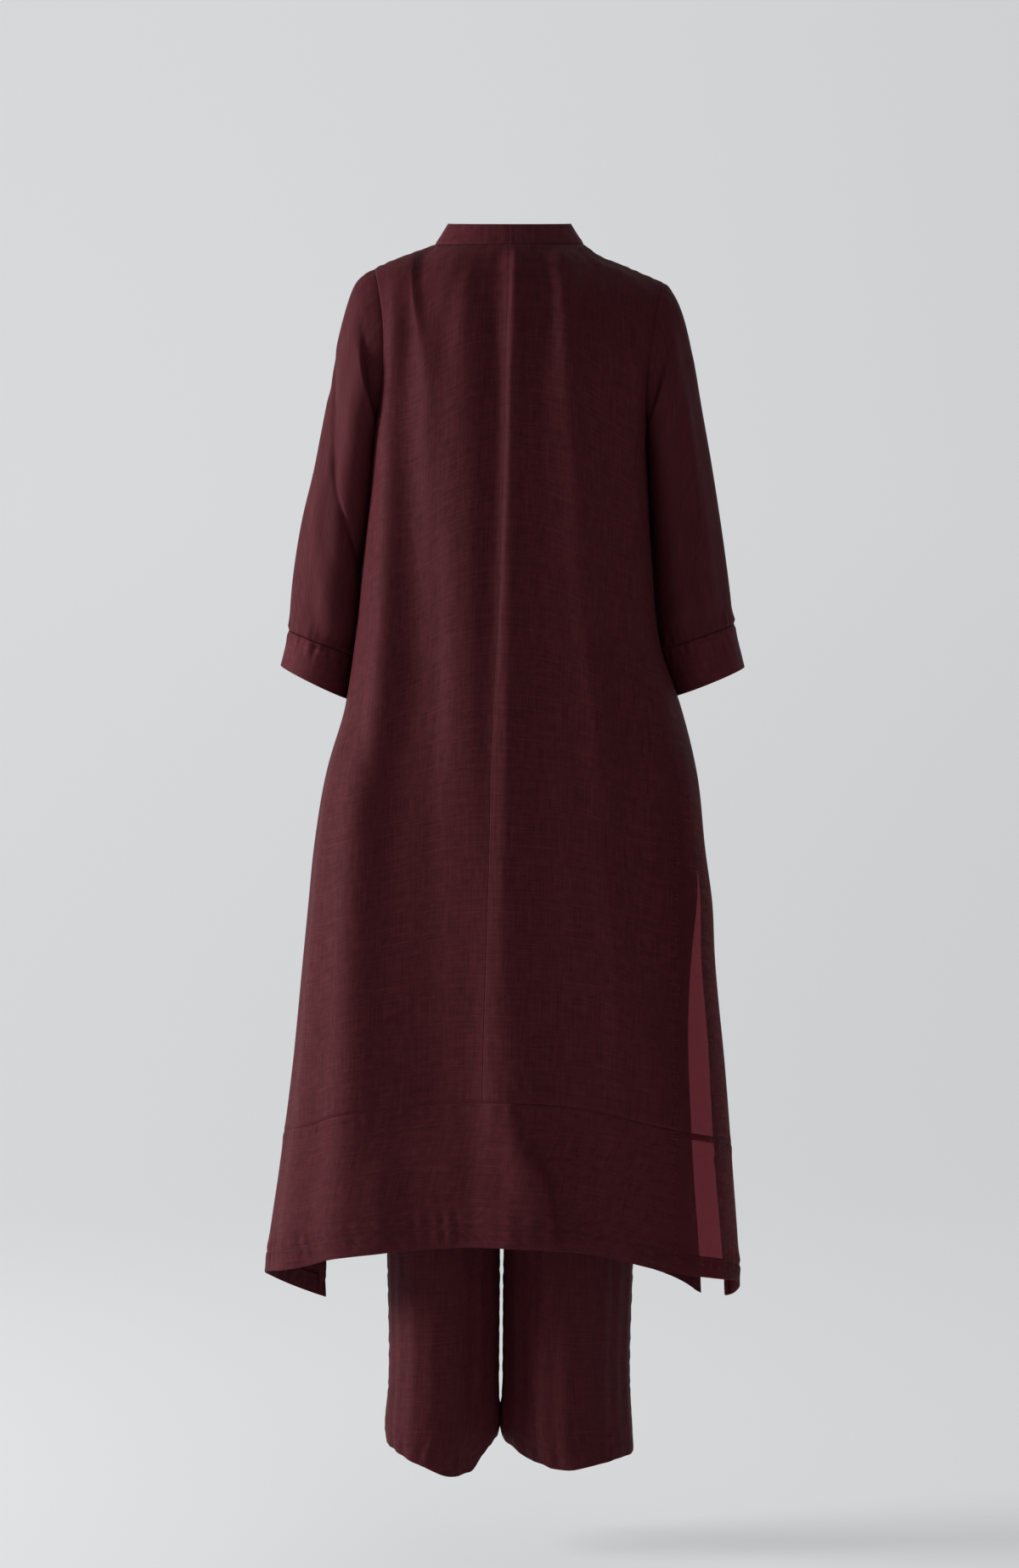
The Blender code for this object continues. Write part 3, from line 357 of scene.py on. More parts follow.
# Folds of the legs, by the same turns.
LEG_FOLD_COLUMNS = ("turn", "width", "rise_knee", "rise_hem")
LEG_FOLDS_LEFT = (
    (62.0, 22.0, 0.002, 0.005),
    (128.0, 20.0, -0.003, -0.006),
    (-60.0, 22.0, 0.003, 0.005),
)
LEG_FOLDS_RIGHT = (
    (38.0, 18.0, -0.002, -0.004),
    (88.0, 20.0, 0.003, 0.006),
    (136.0, 18.0, -0.003, -0.007),
    (-70.0, 22.0, 0.003, 0.005),
)
LEG_FOLDS = {LEFT: LEG_FOLDS_LEFT, RIGHT: LEG_FOLDS_RIGHT}
LEG_FOLD_START, LEG_FOLD_END = -0.90, -1.44

# The main creases of the tunic: x of the crest at three heights, its widths to the left and right of
# the crest, how much wider they are at its foot, and its rise at the same heights. Below 0 it lies in.
# It fades out over DRAPE_FADE beyond its ends. Face -1 is the back.
DRAPE = (
    (
        "face", "z_top", "z_middle", "z_low", "x_top", "x_middle", "x_low",
        "left", "right", "spread", "rise_top", "rise_middle", "rise_low",
    ),
    (-1, -0.130, -0.520, -1.010, -0.100, -0.096, -0.078, 0.034, 0.040, 1.5, -0.0080, -0.0165, -0.0130),
    (-1, -0.020, -0.470, -1.010, -0.056, -0.050, -0.032, 0.040, 0.016, 1.3, 0.0030, 0.0042, 0.0030),
    (-1, -0.180, -0.520, -1.160, -0.162, -0.178, -0.208, 0.022, 0.020, 2.0, 0.0045, 0.0120, 0.0130),
    (-1, -0.020, -0.470, -1.060, 0.008, 0.001, -0.021, 0.010, 0.010, 0.8, 0.0048, 0.0034, 0.0008),
    (-1, -0.030, -0.310, -0.640, 0.058, 0.080, 0.112, 0.012, 0.020, 1.3, 0.0085, 0.0115, 0.0030),
    (-1, -0.120, -0.230, -0.380, 0.160, 0.157, 0.155, 0.008, 0.006, 1.0, 0.0045, 0.0045, 0.0004),
    (-1, -0.820, -1.010, -1.200, 0.140, 0.176, 0.204, 0.018, 0.018, 1.2, 0.0010, 0.0120, 0.0140),
    (-1, -0.760, -0.900, -1.050, 0.120, 0.126, 0.128, 0.007, 0.010, 1.0, 0.0010, 0.0035, 0.0010),
    (-1, -1.060, -1.110, -1.200, 0.010, 0.030, 0.052, 0.024, 0.012, 1.0, 0.0030, 0.0110, 0.0130),
    (-1, -1.070, -1.120, -1.200, -0.146, -0.150, -0.156, 0.020, 0.034, 1.0, 0.0010, 0.0050, 0.0060),
    (1, -0.330, -0.700, -1.100, -0.090, -0.110, -0.150, 0.040, 0.018, 1.3, 0.0040, 0.0070, 0.0060),
    (1, -0.300, -0.620, -1.180, 0.050, 0.068, 0.080, 0.016, 0.036, 1.2, 0.0050, 0.0060, 0.0080),
    (1, -0.640, -0.900, -1.200, -0.030, -0.036, -0.030, 0.020, 0.026, 1.2, 0.0010, 0.0040, 0.0070),
)
DRAPE_FADE = 0.09

# Seams and stitch lines. The cloth rolls up beside a seam and puckers along it.
ROLL_NEAR = 0.0022
ROLL_FAR = 0.0100
SEAM_ROLL = 0.0005
PUCKER_NEAR = 0.0035
PUCKER_REACH = 0.0150
PUCKER_LENGTHS = (0.008, 0.026)
SEAM_PUCKER = 0.00035
HEM_PUCKER = 0.00100
CUFF_PUCKER = 0.00090
LINE_STEP = 0.0015

# The centre-back seam's turnings lie to the right and lift that side's cloth.
RIDGE_RISE = 0.0010
RIDGE_PLACE = 0.0052
RIDGE_WIDTH = 0.0036
RIDGE_THIN_FROM, RIDGE_THIN_TO = -0.15, -1.00
RIDGE_LEAST = 0.45

# Unevenness of the hanging cloth: height, and how many waves there are round the piece.
WAVE_COUNT = 16
WAVE_LEAN = 4.0
BODY_WAVE, BODY_WAVE_NUMBERS, BODY_SEED = 0.0004, (9, 30), 11
SLEEVE_WAVE, SLEEVE_WAVE_NUMBERS, SLEEVE_SEED = 0.0007, (3, 12), 31
SLEEVE_WAVE_TWIST = 0.8
LEG_WAVE, LEG_WAVE_NUMBERS, LEG_SEED = 0.0007, (4, 20), 51
BAND_SEED, CUFF_SEED, COLLAR_SEED = 71, 81, 91
CALM_DISTANCE = 0.018

# Where the lines of stitches run: rows up from a leg's hem, which lies LEG_LENGTH below the
# crotch, and columns in from a slit's edge.
LEG_LENGTH = 0.715
LEG_HEM_TURN = 0.020
LEG_HEM_ROWS = round(LEG_HEM_TURN / LEG_LENGTH * LEG_ROWS)
SLIT_STITCH_COLUMNS = 2
BAND_STITCH_COLUMNS = 5

# How many points stand for an armhole's seam where distances from it are measured.
ARMHOLE_LINE_POINTS = 60

# Height of the side slits' upper ends.
SLIT_TOP = -0.722

# The panels' turnings behind the hem band: reach as a share of the seam allowance, and depth.
ALLOWANCE_ROWS = ((1.0, 0.0016), (0.6, 0.0015), (0.25, 0.0013), (0.06, 0.0008))

# Stitches that show along the hems and slit edges. Each is a small box: its corners' heights and
# reaches are in thicknesses of the thread, and BOX_FACES has the corners of each face.
STITCH_LENGTH = 0.0019
STITCH_PITCH = 0.0034
STITCH_THICKNESS = 0.00028
STITCH_HEIGHTS, STITCH_REACHES = (-0.5, 1.0), (-0.5, 0.5)
BOX_FACES = ((0, 1, 3, 2), (4, 6, 7, 5), (0, 4, 5, 1), (2, 3, 7, 6), (0, 2, 6, 4), (1, 5, 7, 3))

# Cloth, in linear colours: the weave's dark and light yarns, the tint of the light that one face
# lets through, the share of it that scatters and the share that passes between the yarns.
THROUGH_TINT = (1.0, 0.43, 0.49, 1.0)
CLOTHS = (
    ("slot", "dark", "light", "scattered", "sheer"),
    ("tunic_cloth", (0.047, 0.0088, 0.0118), (0.095, 0.0178, 0.0230), 0.05, 0.32),
    ("band_cloth", (0.058, 0.0110, 0.0146), (0.116, 0.0218, 0.0282), 0.05, 0.14),
    ("trouser_cloth", (0.044, 0.0082, 0.0110), (0.086, 0.0160, 0.0208), 0.05, 0.10),
)

# Light passes between the yarns only beside the right slit. Elsewhere the cloth is kept from letting it
# through, as painted shade for the wearer's body, which isn't there. Along each axis it goes from none
# at the first place to all at the second.
SHEER_LIMITS = (("X", 0.160, 0.205), ("Y", 0.075, 0.055), ("Z", -0.56, -0.70))

# The yarns' noises are the warp, the weft and a mottle: changes for each metre across and along
# the cloth, detail and share of the whole. Slubs are thick places in single yarns. The ranges
# say which values of a noise go from dark to light, from no slub to a full one, and from the
# first to the second value of CLOTH_ROUGHNESS and OPENNESS. A height of 1 is the weave's own.
YARN_NOISES = (
    ("across", "along", "detail", "share"),
    (620.0, 20.0, 2.0, 0.40),
    (22.0, 560.0, 2.0, 0.35),
    (120.0, 100.0, 3.0, 0.25),
)
TONE_RANGE = (0.36, 0.64)
YARN_RANGE = (0.3, 0.7)
YARN_HEIGHT = 1.6
SLUB_SCALE, SLUB_DETAIL, SLUB_RANGE = (14.0, 420.0), 1.0, (0.60, 0.72)
SLUB_TONE, SLUB_HEIGHT = 0.30, 0.8
WEAVE_SCALE, WEAVE_DEPTH, WEAVE_STRENGTH = 480.0, 0.00015, 0.6
CLOTH_ROUGHNESS = (0.68, 0.54)
OPENNESS = (1.12, 0.88)
CLOTH_SHEEN = 0.01
SHEEN_ROUGHNESS = 0.35
SHEEN_TINT = (0.95, 0.42, 0.46, 1.0)
CLOTH_SPECULAR = 0.05

# Plain surfaces: the sewing thread, and the fine grain of thread and studio.
THREAD_COLOUR = (0.032, 0.007, 0.010, 1.0)
THREAD_ROUGHNESS, THREAD_GRAIN = 0.7, 4000.0
GRAIN_DETAIL, GRAIN_STRENGTH, GRAIN_DEPTH = 3.0, 0.05, 0.001

# Camera, stage and light. The stage gives off some light of its own, so that it stays even.
CAMERA_PLACE = (0.0, -4.5, -0.654)
CAMERA_LENS = 85.2
CAMERA_SENSOR = 36.0
FLOOR_Z = -1.573
FLOOR_COLOUR = (0.355, 0.360, 0.366, 1.0)
FLOOR_GLOW = 1.12
FLOOR_ROUGHNESS, FLOOR_GRAIN = 0.9, 60.0
FLOOR_HALF_WIDTH = 9.0
FLOOR_FRONT, FLOOR_BACK, FLOOR_TOP, FLOOR_CURVE = -9.0, 3.2, 7.0, 1.6
FLOOR_CURVE_STEPS = 24
WORLD_COLOUR = (0.86, 0.88, 0.90, 1.0)
WORLD_STRENGTH = 0.08
LIGHTS = (
    ("name", "place", "target", "size", "watts"),
    ("key", (-4.6, -0.18, 0.45), (0.0, 0.0, -0.6), 1.8, 275.0),
    ("fill", (1.5, -4.6, 0.6), (0.0, 0.0, -0.7), 3.5, 19.0),
    ("floor", (0.0, -0.8, 5.2), (0.0, 0.2, -1.5), 9.0, 72.0),
    ("backdrop", (0.0, 2.4, 3.4), (0.0, 4.8, -0.6), 3.0, 10.0),
)


def read(rows, name, key):
    """A table's column, smoothly between its rows, at values of its first column."""
    table = np.array(rows[1:])
    table = table[np.argsort(table[:, 0])]
    known, values = table[:, 0], table[:, rows[0].index(name)]
    slopes = np.gradient(values, known)
    key = np.clip(key, known[0], known[-1])
    low = np.clip(np.searchsorted(known, key, side="right") - 1, 0, len(known) - 2)
    span = known[low + 1] - known[low]
    share = (key - known[low]) / span
    return hermite(values[low], values[low + 1], slopes[low] * span, slopes[low + 1] * span, share)


def named(rows):
    """A table's rows, each with its values by column name."""
    return [SimpleNamespace(**dict(zip(rows[0], row))) for row in rows[1:]]


def unit(ways):
    return ways / np.linalg.norm(ways, axis=-1, keepdims=True)


def bell(away, width):
    """1 on the line of a fold, crease or seam, falling to 0 beside it."""
    return np.exp(-((away / width) ** 2))


def turns_apart(turn, middle):
    """How far a turn is from another, the short way round."""
    return (turn - middle + 180.0) % 360.0 - 180.0


def hermite(start, end, leave, arrive, share):
    """A cubic from start to end with the given tangents."""
    square, cube = share**2, share**3
    return (
        (2 * cube - 3 * square + 1) * start
        + (cube - 2 * square + share) * leave
        + (3 * square - 2 * cube) * end
        + (cube - square) * arrive
    )


def ease(share):
    """0 to 1 with a soft start and end."""
    share = np.clip(share, 0.0, 1.0)
    return share * share * (3 - 2 * share)


def through_three(top, waist, hem, z):
    """A value that is given at the folds' three levels, smoothly between them."""
    upper = ease((FOLD_TOP - z) / (FOLD_TOP - FOLD_WAIST))
    lower = ease((FOLD_WAIST - z) / (FOLD_WAIST - FOLD_HEM))
    return top + (waist - top) * upper + (hem - waist) * lower


def fold_height(turn, z):
    """How far the hanging folds move the tunic's cloth outwards."""
    height = np.zeros(np.broadcast(turn, z).shape)
    for fold in named(FOLDS):
        middle = through_three(fold.turn_top, fold.turn_waist, fold.turn_hem, z)
        mean_width = (fold.width_top + fold.width_hem) / 2
        width = through_three(fold.width_top, mean_width, fold.width_hem, z)
        rise = through_three(fold.rise_top, fold.rise_waist, fold.rise_hem, z)
        height = height + rise * bell(turns_apart(turn, middle), width)
    return height


def side_calm(turn, z):
    """0 beside the sleeves, where the sides hang smooth, and 1 elsewhere."""
    from_side = np.abs(np.abs(turns_apart(turn, 0.0)) - CALM_TURN)
    below_cuffs = ease((CALM_END - z) / CALM_END_BLEND)
    return np.maximum(ease((from_side - CALM_REACH) / CALM_BLEND), below_cuffs)


def body_section(turn, z, folded=True):
    """Points of the tunic's outer face on its level sections."""
    side, face = np.sin(np.radians(turn)), np.cos(np.radians(turn))
    half_width = np.where(side >= 0, section("right", z), section("left", z))
    half_depth = np.where(face >= 0, section("back", z), section("front", z))
    power = section("squareness", z)
    swell = (np.abs(side) ** power + np.abs(face) ** power) ** (-1 / power)
    x, y = half_width * swell * side, -half_depth * swell * face
    points = np.stack([x, y, np.broadcast_to(z, x.shape)], axis=-1)
    if folded:
        points = points + (fold_height(turn, z) * side_calm(turn, z))[..., None] * outwards(turn)
    return points


def section(name, z):
    return read(SECTIONS, name, z)


def outwards(turn):
    """The level direction away from the body at each turn."""
    angle = np.radians(turn)
    return np.stack([np.sin(angle), -np.cos(angle), np.zeros_like(angle)], axis=-1)


def tunic_side(side, z, y):
    """How far out the tunic's side lies at a height and y."""
    half_width = section(SIDE_NAMES[side], z)
    half_depth = section("front" if y > 0 else "back", z)
    power = section("squareness", z)
    return half_width * (1 - (abs(y) / half_depth) ** power) ** (1 / power)


def hem_height(turn):
    return read(HEM, "z", turn)


def sleeve_row(row, side):
    """A sleeve table's row by name, with the x of its underside."""
    ring = dict(zip(SLEEVE_COLUMNS, row))
    ring["inner_x"] = tunic_side(side, ring["inner_z"], ring["middle_y"]) + ring["clear"]
    return ring


def ring_point(row, turn):
    """Points of a sleeve's ring. Turn 0 is the outer side, 90 the back and 180 the underarm."""
    outer = np.array([row["outer_x"], 0.0, row["outer_z"]])
    inner = np.array([row["inner_x"], 0.0, row["inner_z"]])
    angle = np.radians(np.asarray(turn, float))[..., None]
    middle = (outer + inner) / 2 + np.array([0.0, row["middle_y"], 0.0])
    depth = np.array([0.0, -row["half_depth"], -row["tilt"]])
    scoop = np.array([-row["scoop"], 0.0, 0.0])
    return middle + (outer - inner) / 2 * np.cos(angle) + depth * np.sin(angle) + scoop * np.sin(angle) ** 2


def ring_turns():
    """The turns of a sleeve's points, from the seam under the arm round to it again."""
    return 180.0 + np.linspace(0.0, 360.0, RING_STEPS, endpoint=False)


def armhole_row(side):
    return sleeve_row(SLEEVES[side][0], side)


def armhole_edge(side, face, turn):
    """Points of a panel's armhole edge, on the sleeve's first ring."""
    points = ring_point(armhole_row(side), -face * turn)
    points[:, 0] *= side
    return points


def panel_shares():
    """The columns of a tunic panel, from its centre seam to its side, with more beside the seam."""
    neck = np.linspace(SEAM_COLUMNS[-1], NECK_SHARE, NECK_STEPS + 1)[1:]
    shoulder = np.linspace(NECK_SHARE, ARMHOLE_SHARE, SHOULDER_STEPS + 1)[1:]
    side = np.linspace(ARMHOLE_SHARE, 1, SIDE_STEPS + 1)[1:]
    return np.concatenate([SEAM_COLUMNS, neck, shoulder, side])


def neck_columns():
    """How many of a panel's columns end at the neckline."""
    return len(SEAM_COLUMNS) + NECK_STEPS


def neck_turns(face):
    """Turns of the neckline's points on one side, from its centre, at 0, to the shoulder, at 90."""
    opening = NECK_SLIT_HALF_WIDTH if face == FRONT else 0.0
    first = math.degrees(math.asin(opening / NECK_HALF_WIDTH))
    return first + (90.0 - first) * panel_shares()[: neck_columns()] / NECK_SHARE


def neck_point(side, face, turn):
    across, along = math.sin(math.radians(turn)), math.cos(math.radians(turn))
    depth = NECK_FRONT if face == FRONT else NECK_BACK
    drop = NECK_FRONT_DROP * along**NECK_DROP_POWER if face == FRONT else NECK_BACK_DROP * along
    return np.array([side * NECK_HALF_WIDTH * across, face * depth * along, -drop])


def top_edge(side, face):
    """The neckline and shoulder seam of a panel, and the direction in which its cloth reaches them.
    Past the neck's corner that direction swings from across the neckline to across the seam."""
    tip = armhole_edge(side, face, np.zeros(1))[0]
    neck = neck_point(side, face, 90.0)
    turns = neck_turns(face)
    around_neck = np.array([neck_point(side, face, turn) for turn in turns])
    shoulder_shares = panel_shares()[neck_columns() : -SIDE_STEPS]
    along = (shoulder_shares - NECK_SHARE) / (ARMHOLE_SHARE - NECK_SHARE)
    rise = read(SHOULDERS, SIDE_NAMES[side], along)
    shoulder = neck + (tip - neck) * along[:, None] + rise[:, None] * UP
    fading = 1 - ease(along / SHOULDER_BLEND)
    swing = np.concatenate([NECK_CORNER_SWING * turns / 90.0, NECK_CORNER_SWING * fading])
    steepest = NECK_LEAN_FRONT if face == FRONT else NECK_LEAN_BACK
    lean = SHOULDER_SLOPE + (steepest - SHOULDER_SLOPE) * np.cos(np.radians(turns))
    lean = np.concatenate([lean, SHOULDER_SLOPE * fading])
    swing, lean = np.radians(swing), np.radians(lean)
    level_way = np.stack([-side * np.sin(swing), -face * np.cos(swing), 0 * swing], axis=-1)
    way = level_way * np.cos(lean)[:, None] + np.sin(lean)[:, None] * UP
    return np.concatenate([around_neck, shoulder]), way


def panel_turns(side, face, share, z):
    """Turns of a panel's columns at heights z."""
    centre = read(EDGES, "centre_" + FACE_NAMES[face], z)
    edge = read(EDGES, f"{SIDE_NAMES[side]}_{FACE_NAMES[face]}", z)
    slit = np.clip((z - NECK_SLIT_END) / -NECK_SLIT_END, 0.0, 1.0) if face == FRONT else 0.0
    opening = slit * NECK_SLIT_HALF_WIDTH / section(FACE_NAMES[face], z)
    first = centre + np.sign(edge - centre) * np.degrees(opening)
    return first + (edge - first) * share


def body_panel(side, face):
    """A front or back half of the tunic, from the hem band's seam to the collar, shoulder and armhole."""
    shares = panel_shares()
    past_corner = shares[-SIDE_STEPS - 1 :] - ARMHOLE_SHARE
    lower_turns = ARMHOLE_CORNER + (180.0 - ARMHOLE_CORNER) * past_corner / (1 - ARMHOLE_SHARE)
    lower_edge = armhole_edge(side, face, lower_turns)
    top_z = np.full(len(shares), lower_edge[0, 2])
    top_z[-SIDE_STEPS - 1 :] = lower_edge[:, 2]
    top_turns = panel_turns(side, face, shares, top_z)
    flat = body_section(top_turns, top_z, folded=False)
    shift = np.zeros(flat.shape)
    shift[-SIDE_STEPS - 1 :] = lower_edge - flat[-SIDE_STEPS - 1 :]
    near = (shares[:-SIDE_STEPS] / ARMHOLE_SHARE) ** PULL_ACROSS_POWER
    shift[:-SIDE_STEPS] = near[:, None] * shift[-SIDE_STEPS - 1]

    seam_z = np.full(len(shares), HEM_MIDDLE + BAND_HEIGHT)
    for _ in range(SETTLING_ROUNDS):
        seam_z = hem_height(panel_turns(side, face, shares, seam_z)) + BAND_HEIGHT
    share = np.linspace(0, 1, BODY_ROWS + 1)[:, None]
    z = seam_z + (top_z - seam_z) * share
    turns = panel_turns(side, face, np.broadcast_to(shares, z.shape), z)
    lower = body_section(turns, z) + share[..., None] ** PULL_DOWN_POWER * shift

    upper = blank(YOKE_ROWS, len(shares))
    upper[:, :-SIDE_STEPS] = yoke_rows(side, face, (flat + shift)[:-SIDE_STEPS], top_turns[:-SIDE_STEPS])
    return np.concatenate([lower, upper])


def blank(rows, columns):
    """A grid of points that aren't there."""
    return np.full((rows, columns, 3), np.nan)


def yoke_rows(side, face, base, turns):
    """The rows of a panel above the armhole's corner. Its columns curve up and over to the neckline
    and shoulder seam, and the last one follows the armhole."""
    shares = panel_shares()[:-SIDE_STEPS]
    top, arrive = top_edge(side, face)
    base_z = base[0, 2]
    below = body_section(turns, base_z - SLOPE_STEP, folded=False)
    leave = (body_section(turns, base_z, folded=False) - below) / SLOPE_STEP
    reach = np.linalg.norm(top - base, axis=-1, keepdims=True)
    level = np.linspace(0, 1, YOKE_ROWS + 1)[1:, None, None]
    rows = hermite(base, top, leave * reach, arrive * reach * YOKE_ARRIVAL, level)
    armhole = armhole_edge(side, face, ARMHOLE_CORNER * (1 - level[:, 0, 0]))
    nearness = (shares / ARMHOLE_SHARE) ** YOKE_PULL_POWER
    rows = rows + (armhole - rows[:, -1])[:, None] * nearness[None, :, None]
    height = base_z * (1 - level[..., 0])
    folds = fold_height(turns, height) * side_calm(turns, height) * (1 - level[..., 0] ** FOLD_FADE_POWER)
    return rows + folds[..., None] * outwards(turns)


def hem_band(face):
    """The deep band below the tunic's panels, in one piece from slit to slit."""
    shares = np.linspace(-1, 1, BAND_COLUMNS + 1)
    share = np.linspace(0, 1, BAND_ROWS + 1)[:, None]
    z = np.full((BAND_ROWS + 1, len(shares)), HEM_MIDDLE)
    for _ in range(SETTLING_ROUNDS):
        left, right = (panel_turns(side, face, np.abs(shares), z) for side in (LEFT, RIGHT))
        turns = np.where(shares < 0, left, right)
        z = hem_height(turns) + BAND_HEIGHT * share
    return body_section(turns, z)


def ring_rows(table, rings, side):
    """Rings of a sleeve or cuff, smoothly through its table's rows."""
    known = [sleeve_row(row, side) for row in table]
    names = ("index", *known[0])
    keyed = [names] + [(index, *row.values()) for index, row in enumerate(known)]
    places = np.linspace(0, len(table) - 1, rings)
    rows = [{name: float(read(keyed, name, place)) for name in names} for place in places]
    points = np.array([ring_point(row, ring_turns()) for row in rows])
    points[..., 0] *= side
    return points


def crease_height(creases, share):
    """How far a sleeve's creases move its cloth outwards."""
    height = np.zeros(np.broadcast(share, ring_turns()).shape)
    for crease in named((CREASE_COLUMNS, *creases)):
        along = (share - crease.share_start) / (crease.share_end - crease.share_start)
        middle = crease.turn_start + (crease.turn_end - crease.turn_start) * along
        fade = ease(along / CREASE_FADE + 0.5) * ease((1 - along) / CREASE_FADE + 0.5)
        height = height + crease.rise * fade * bell(turns_apart(ring_turns(), middle), crease.width)
    return height


def pushed_out(points, height, middle):
    """Points moved out from the middle of their ring."""
    return points + unit(points - middle) * height[..., None]


def sleeve(side):
    points = ring_rows(SLEEVES[side], SLEEVE_RINGS, side)
    share = np.linspace(0, 1, SLEEVE_RINGS)[:, None]
    return pushed_out(points, crease_height(CREASES[side], share), points.mean(axis=1, keepdims=True))


def cuff(side):
    return ring_rows(CUFFS[side], CUFF_RINGS, side)


def collar_half(side):
    """Half of the standing collar, from the centre back to the neck slit, leaning in as it rises."""
    base = [neck_point(side, BACK, turn) for turn in neck_turns(BACK)]
    base += [neck_point(side, FRONT, turn) for turn in neck_turns(FRONT)[-2::-1]]
    base = np.array(base)
    top = base * np.array([COLLAR_TOP_SHARE, COLLAR_TOP_SHARE, 1.0])
    top += np.array([0.0, COLLAR_FORWARD, COLLAR_HEIGHT])
    top[0, 0] = base[0, 0]
    level = np.linspace(0, 1, COLLAR_ROWS + 1)[:, None, None]
    return base + COLLAR_GAP * unit(top - base) + (top - base) * level


def leg_edges(side, z):
    """Where a leg's outer and inner sides lie."""
    return [read(LEGS, f"{SIDE_NAMES[side]}_{edge}", z) for edge in ("outer", "inner")]


def leg_middle(side, z):
    """The middle of a leg's sections."""
    outer, inner = leg_edges(side, z)
    return np.stack([(outer + inner) / 2, read(LEGS, "middle_y", z), z], axis=-1)


def leg_rows(side, turns, z):
    """Rows of a trouser leg below the crotch."""
    outer, inner = leg_edges(side, z)
    angle = np.radians(turns)
    half_depth = read(LEGS, "half_depth", z)
    across = np.stack([(outer - inner) / 2 * np.cos(angle), -half_depth * np.sin(angle), 0 * z], axis=-1)
    return leg_middle(side, z) + across


def seat_row(side, shares, z):
    """Above the crotch a leg is half of the seat, and its middle moves in to the centre line."""
    rise = float(ease((z - CROTCH) / CROTCH_BLEND)) ** CROTCH_BLEND_POWER
    half_width = read(SEAT, "half_width", z)
    middle = half_width / 2 * (1 - rise)
    reach = half_width - middle
    last = math.degrees(math.acos(np.clip(-(middle - LEG_GAP / 2) / reach, -1, 1)))
    angle = np.radians(shares * last)
    depth = np.where(shares > 0, read(SEAT, "back", z), read(SEAT, "front", z))
    return np.stack([side * (middle + reach * np.cos(angle)), -depth * np.sin(angle), 0 * angle + z], axis=-1)


def leg_fold_height(folds, turns, z):
    """How far a leg's folds move its cloth outwards. They grow from the knee to the hem."""
    grown = ease((LEG_FOLD_START - z) / (LEG_FOLD_START - LEG_FOLD_END))
    height = np.zeros(np.broadcast(turns, z).shape)
    for fold in named((LEG_FOLD_COLUMNS, *folds)):
        rise = fold.rise_knee * np.minimum(1.0, 2 * grown) + (fold.rise_hem - fold.rise_knee) * grown
        height = height + rise * bell(turns_apart(turns, fold.turn), fold.width)
    return height


def trouser_panel(side, face):
    """The back or front of a trouser leg, from its outer seam to its inseam and the seat's seam."""
    first = SEAM_SLACK / 180.0
    shares = -face * np.linspace(first, 1 - first, LEG_STEPS + 1)
    turns = shares * 180.0
    seat_z = np.linspace(WAIST_TOP - WAISTBAND_HEIGHT, CROTCH + SEAT_END, SEAT_ROWS + 1)
    seat = [seat_row(side, shares, z) for z in seat_z]
    hem = read(LEG_HEMS, SIDE_NAMES[side], turns)
    share = np.linspace(0, 1, LEG_ROWS + 1)[1:, None]
    z = CROTCH + (hem - CROTCH) * share
    folds = leg_fold_height(LEG_FOLDS[side], turns, z)
    return np.concatenate([np.array(seat), pushed_out(leg_rows(side, turns, z), folds, leg_middle(side, z))])


def waistband():
    angle = np.radians(np.linspace(0, 360, WAISTBAND_STEPS, endpoint=False))
    rows = []
    for z in np.linspace(WAIST_TOP, WAIST_TOP - WAISTBAND_HEIGHT, WAISTBAND_ROWS):
        back, front = read(SEAT, "back", z), read(SEAT, "front", z)
        depth = np.where(np.cos(angle) > 0, back, front)
        half_width = read(SEAT, "half_width", z)
        rows.append(np.stack([half_width * np.sin(angle), -depth * np.cos(angle), 0 * angle + z], axis=-1))
    return np.array(rows)


def quads(number):
    """The four corners of each of a grid's quads."""
    corners = [number[:-1, :-1], number[:-1, 1:], number[1:, 1:], number[1:, :-1]]
    return np.stack(corners, axis=-1).reshape(-1, 4)


def grid_corners(points, closed, middle):
    """Corner numbers of a grid's quads, wound so that they face away from the middle, and the
    same corners' places in a grid with one more column where the grid closes on itself."""
    there = np.isfinite(points[..., 0])
    rows, columns = there.shape
    number = np.arange(rows * columns).reshape(rows, columns)
    place = np.arange(rows * (columns + 1)).reshape(rows, columns + 1)
    if closed:
        number = np.concatenate([number, number[:, :1]], axis=1)
    else:
        place = place[:, :columns]
    corners, places = quads(number), quads(place)
    keep = there.ravel()[corners].all(axis=1)
    corners, places = corners[keep], places[keep]
    flat = points.reshape(-1, 3)
    across = face_crosses(flat, corners)
    out = (flat[corners].mean(axis=1) - middle) * np.array([1.0, 1.0, 0.0])
    if (across * out).sum() < 0:
        corners, places = corners[:, ::-1], places[:, ::-1]
    return corners, places


def face_crosses(flat, corners):
    return np.cross(flat[corners[:, 2]] - flat[corners[:, 0]], flat[corners[:, 3]] - flat[corners[:, 1]])


def point_normals(flat, corners):
    """The way out at each point of a grid."""
    across = face_crosses(flat, corners)
    normals = np.zeros(flat.shape)
    for corner in corners.T:
        np.add.at(normals, corner, across)
    length = np.linalg.norm(normals, axis=1, keepdims=True)
    return normals / np.where(length > 0, length, 1)


def outward(points, closed=False, middle=AXIS):
    """The way out of the cloth at each point of a grid."""
    corners, _ = grid_corners(points, closed, middle)
    return point_normals(points.reshape(-1, 3), corners).reshape(points.shape)


def sampled(values, length, places):
    """A line's values at places along it, where length is how far along each value lies."""
    return np.stack([np.interp(places, length, values[:, axis]) for axis in range(3)], axis=-1)


def steps_along(points):
    """Lengths along a line of points, or along each column of a grid."""
    steps = np.linalg.norm(np.diff(points, axis=0), axis=-1)
    return np.concatenate([np.zeros((1, *steps.shape[1:])), np.nancumsum(steps, axis=0)])


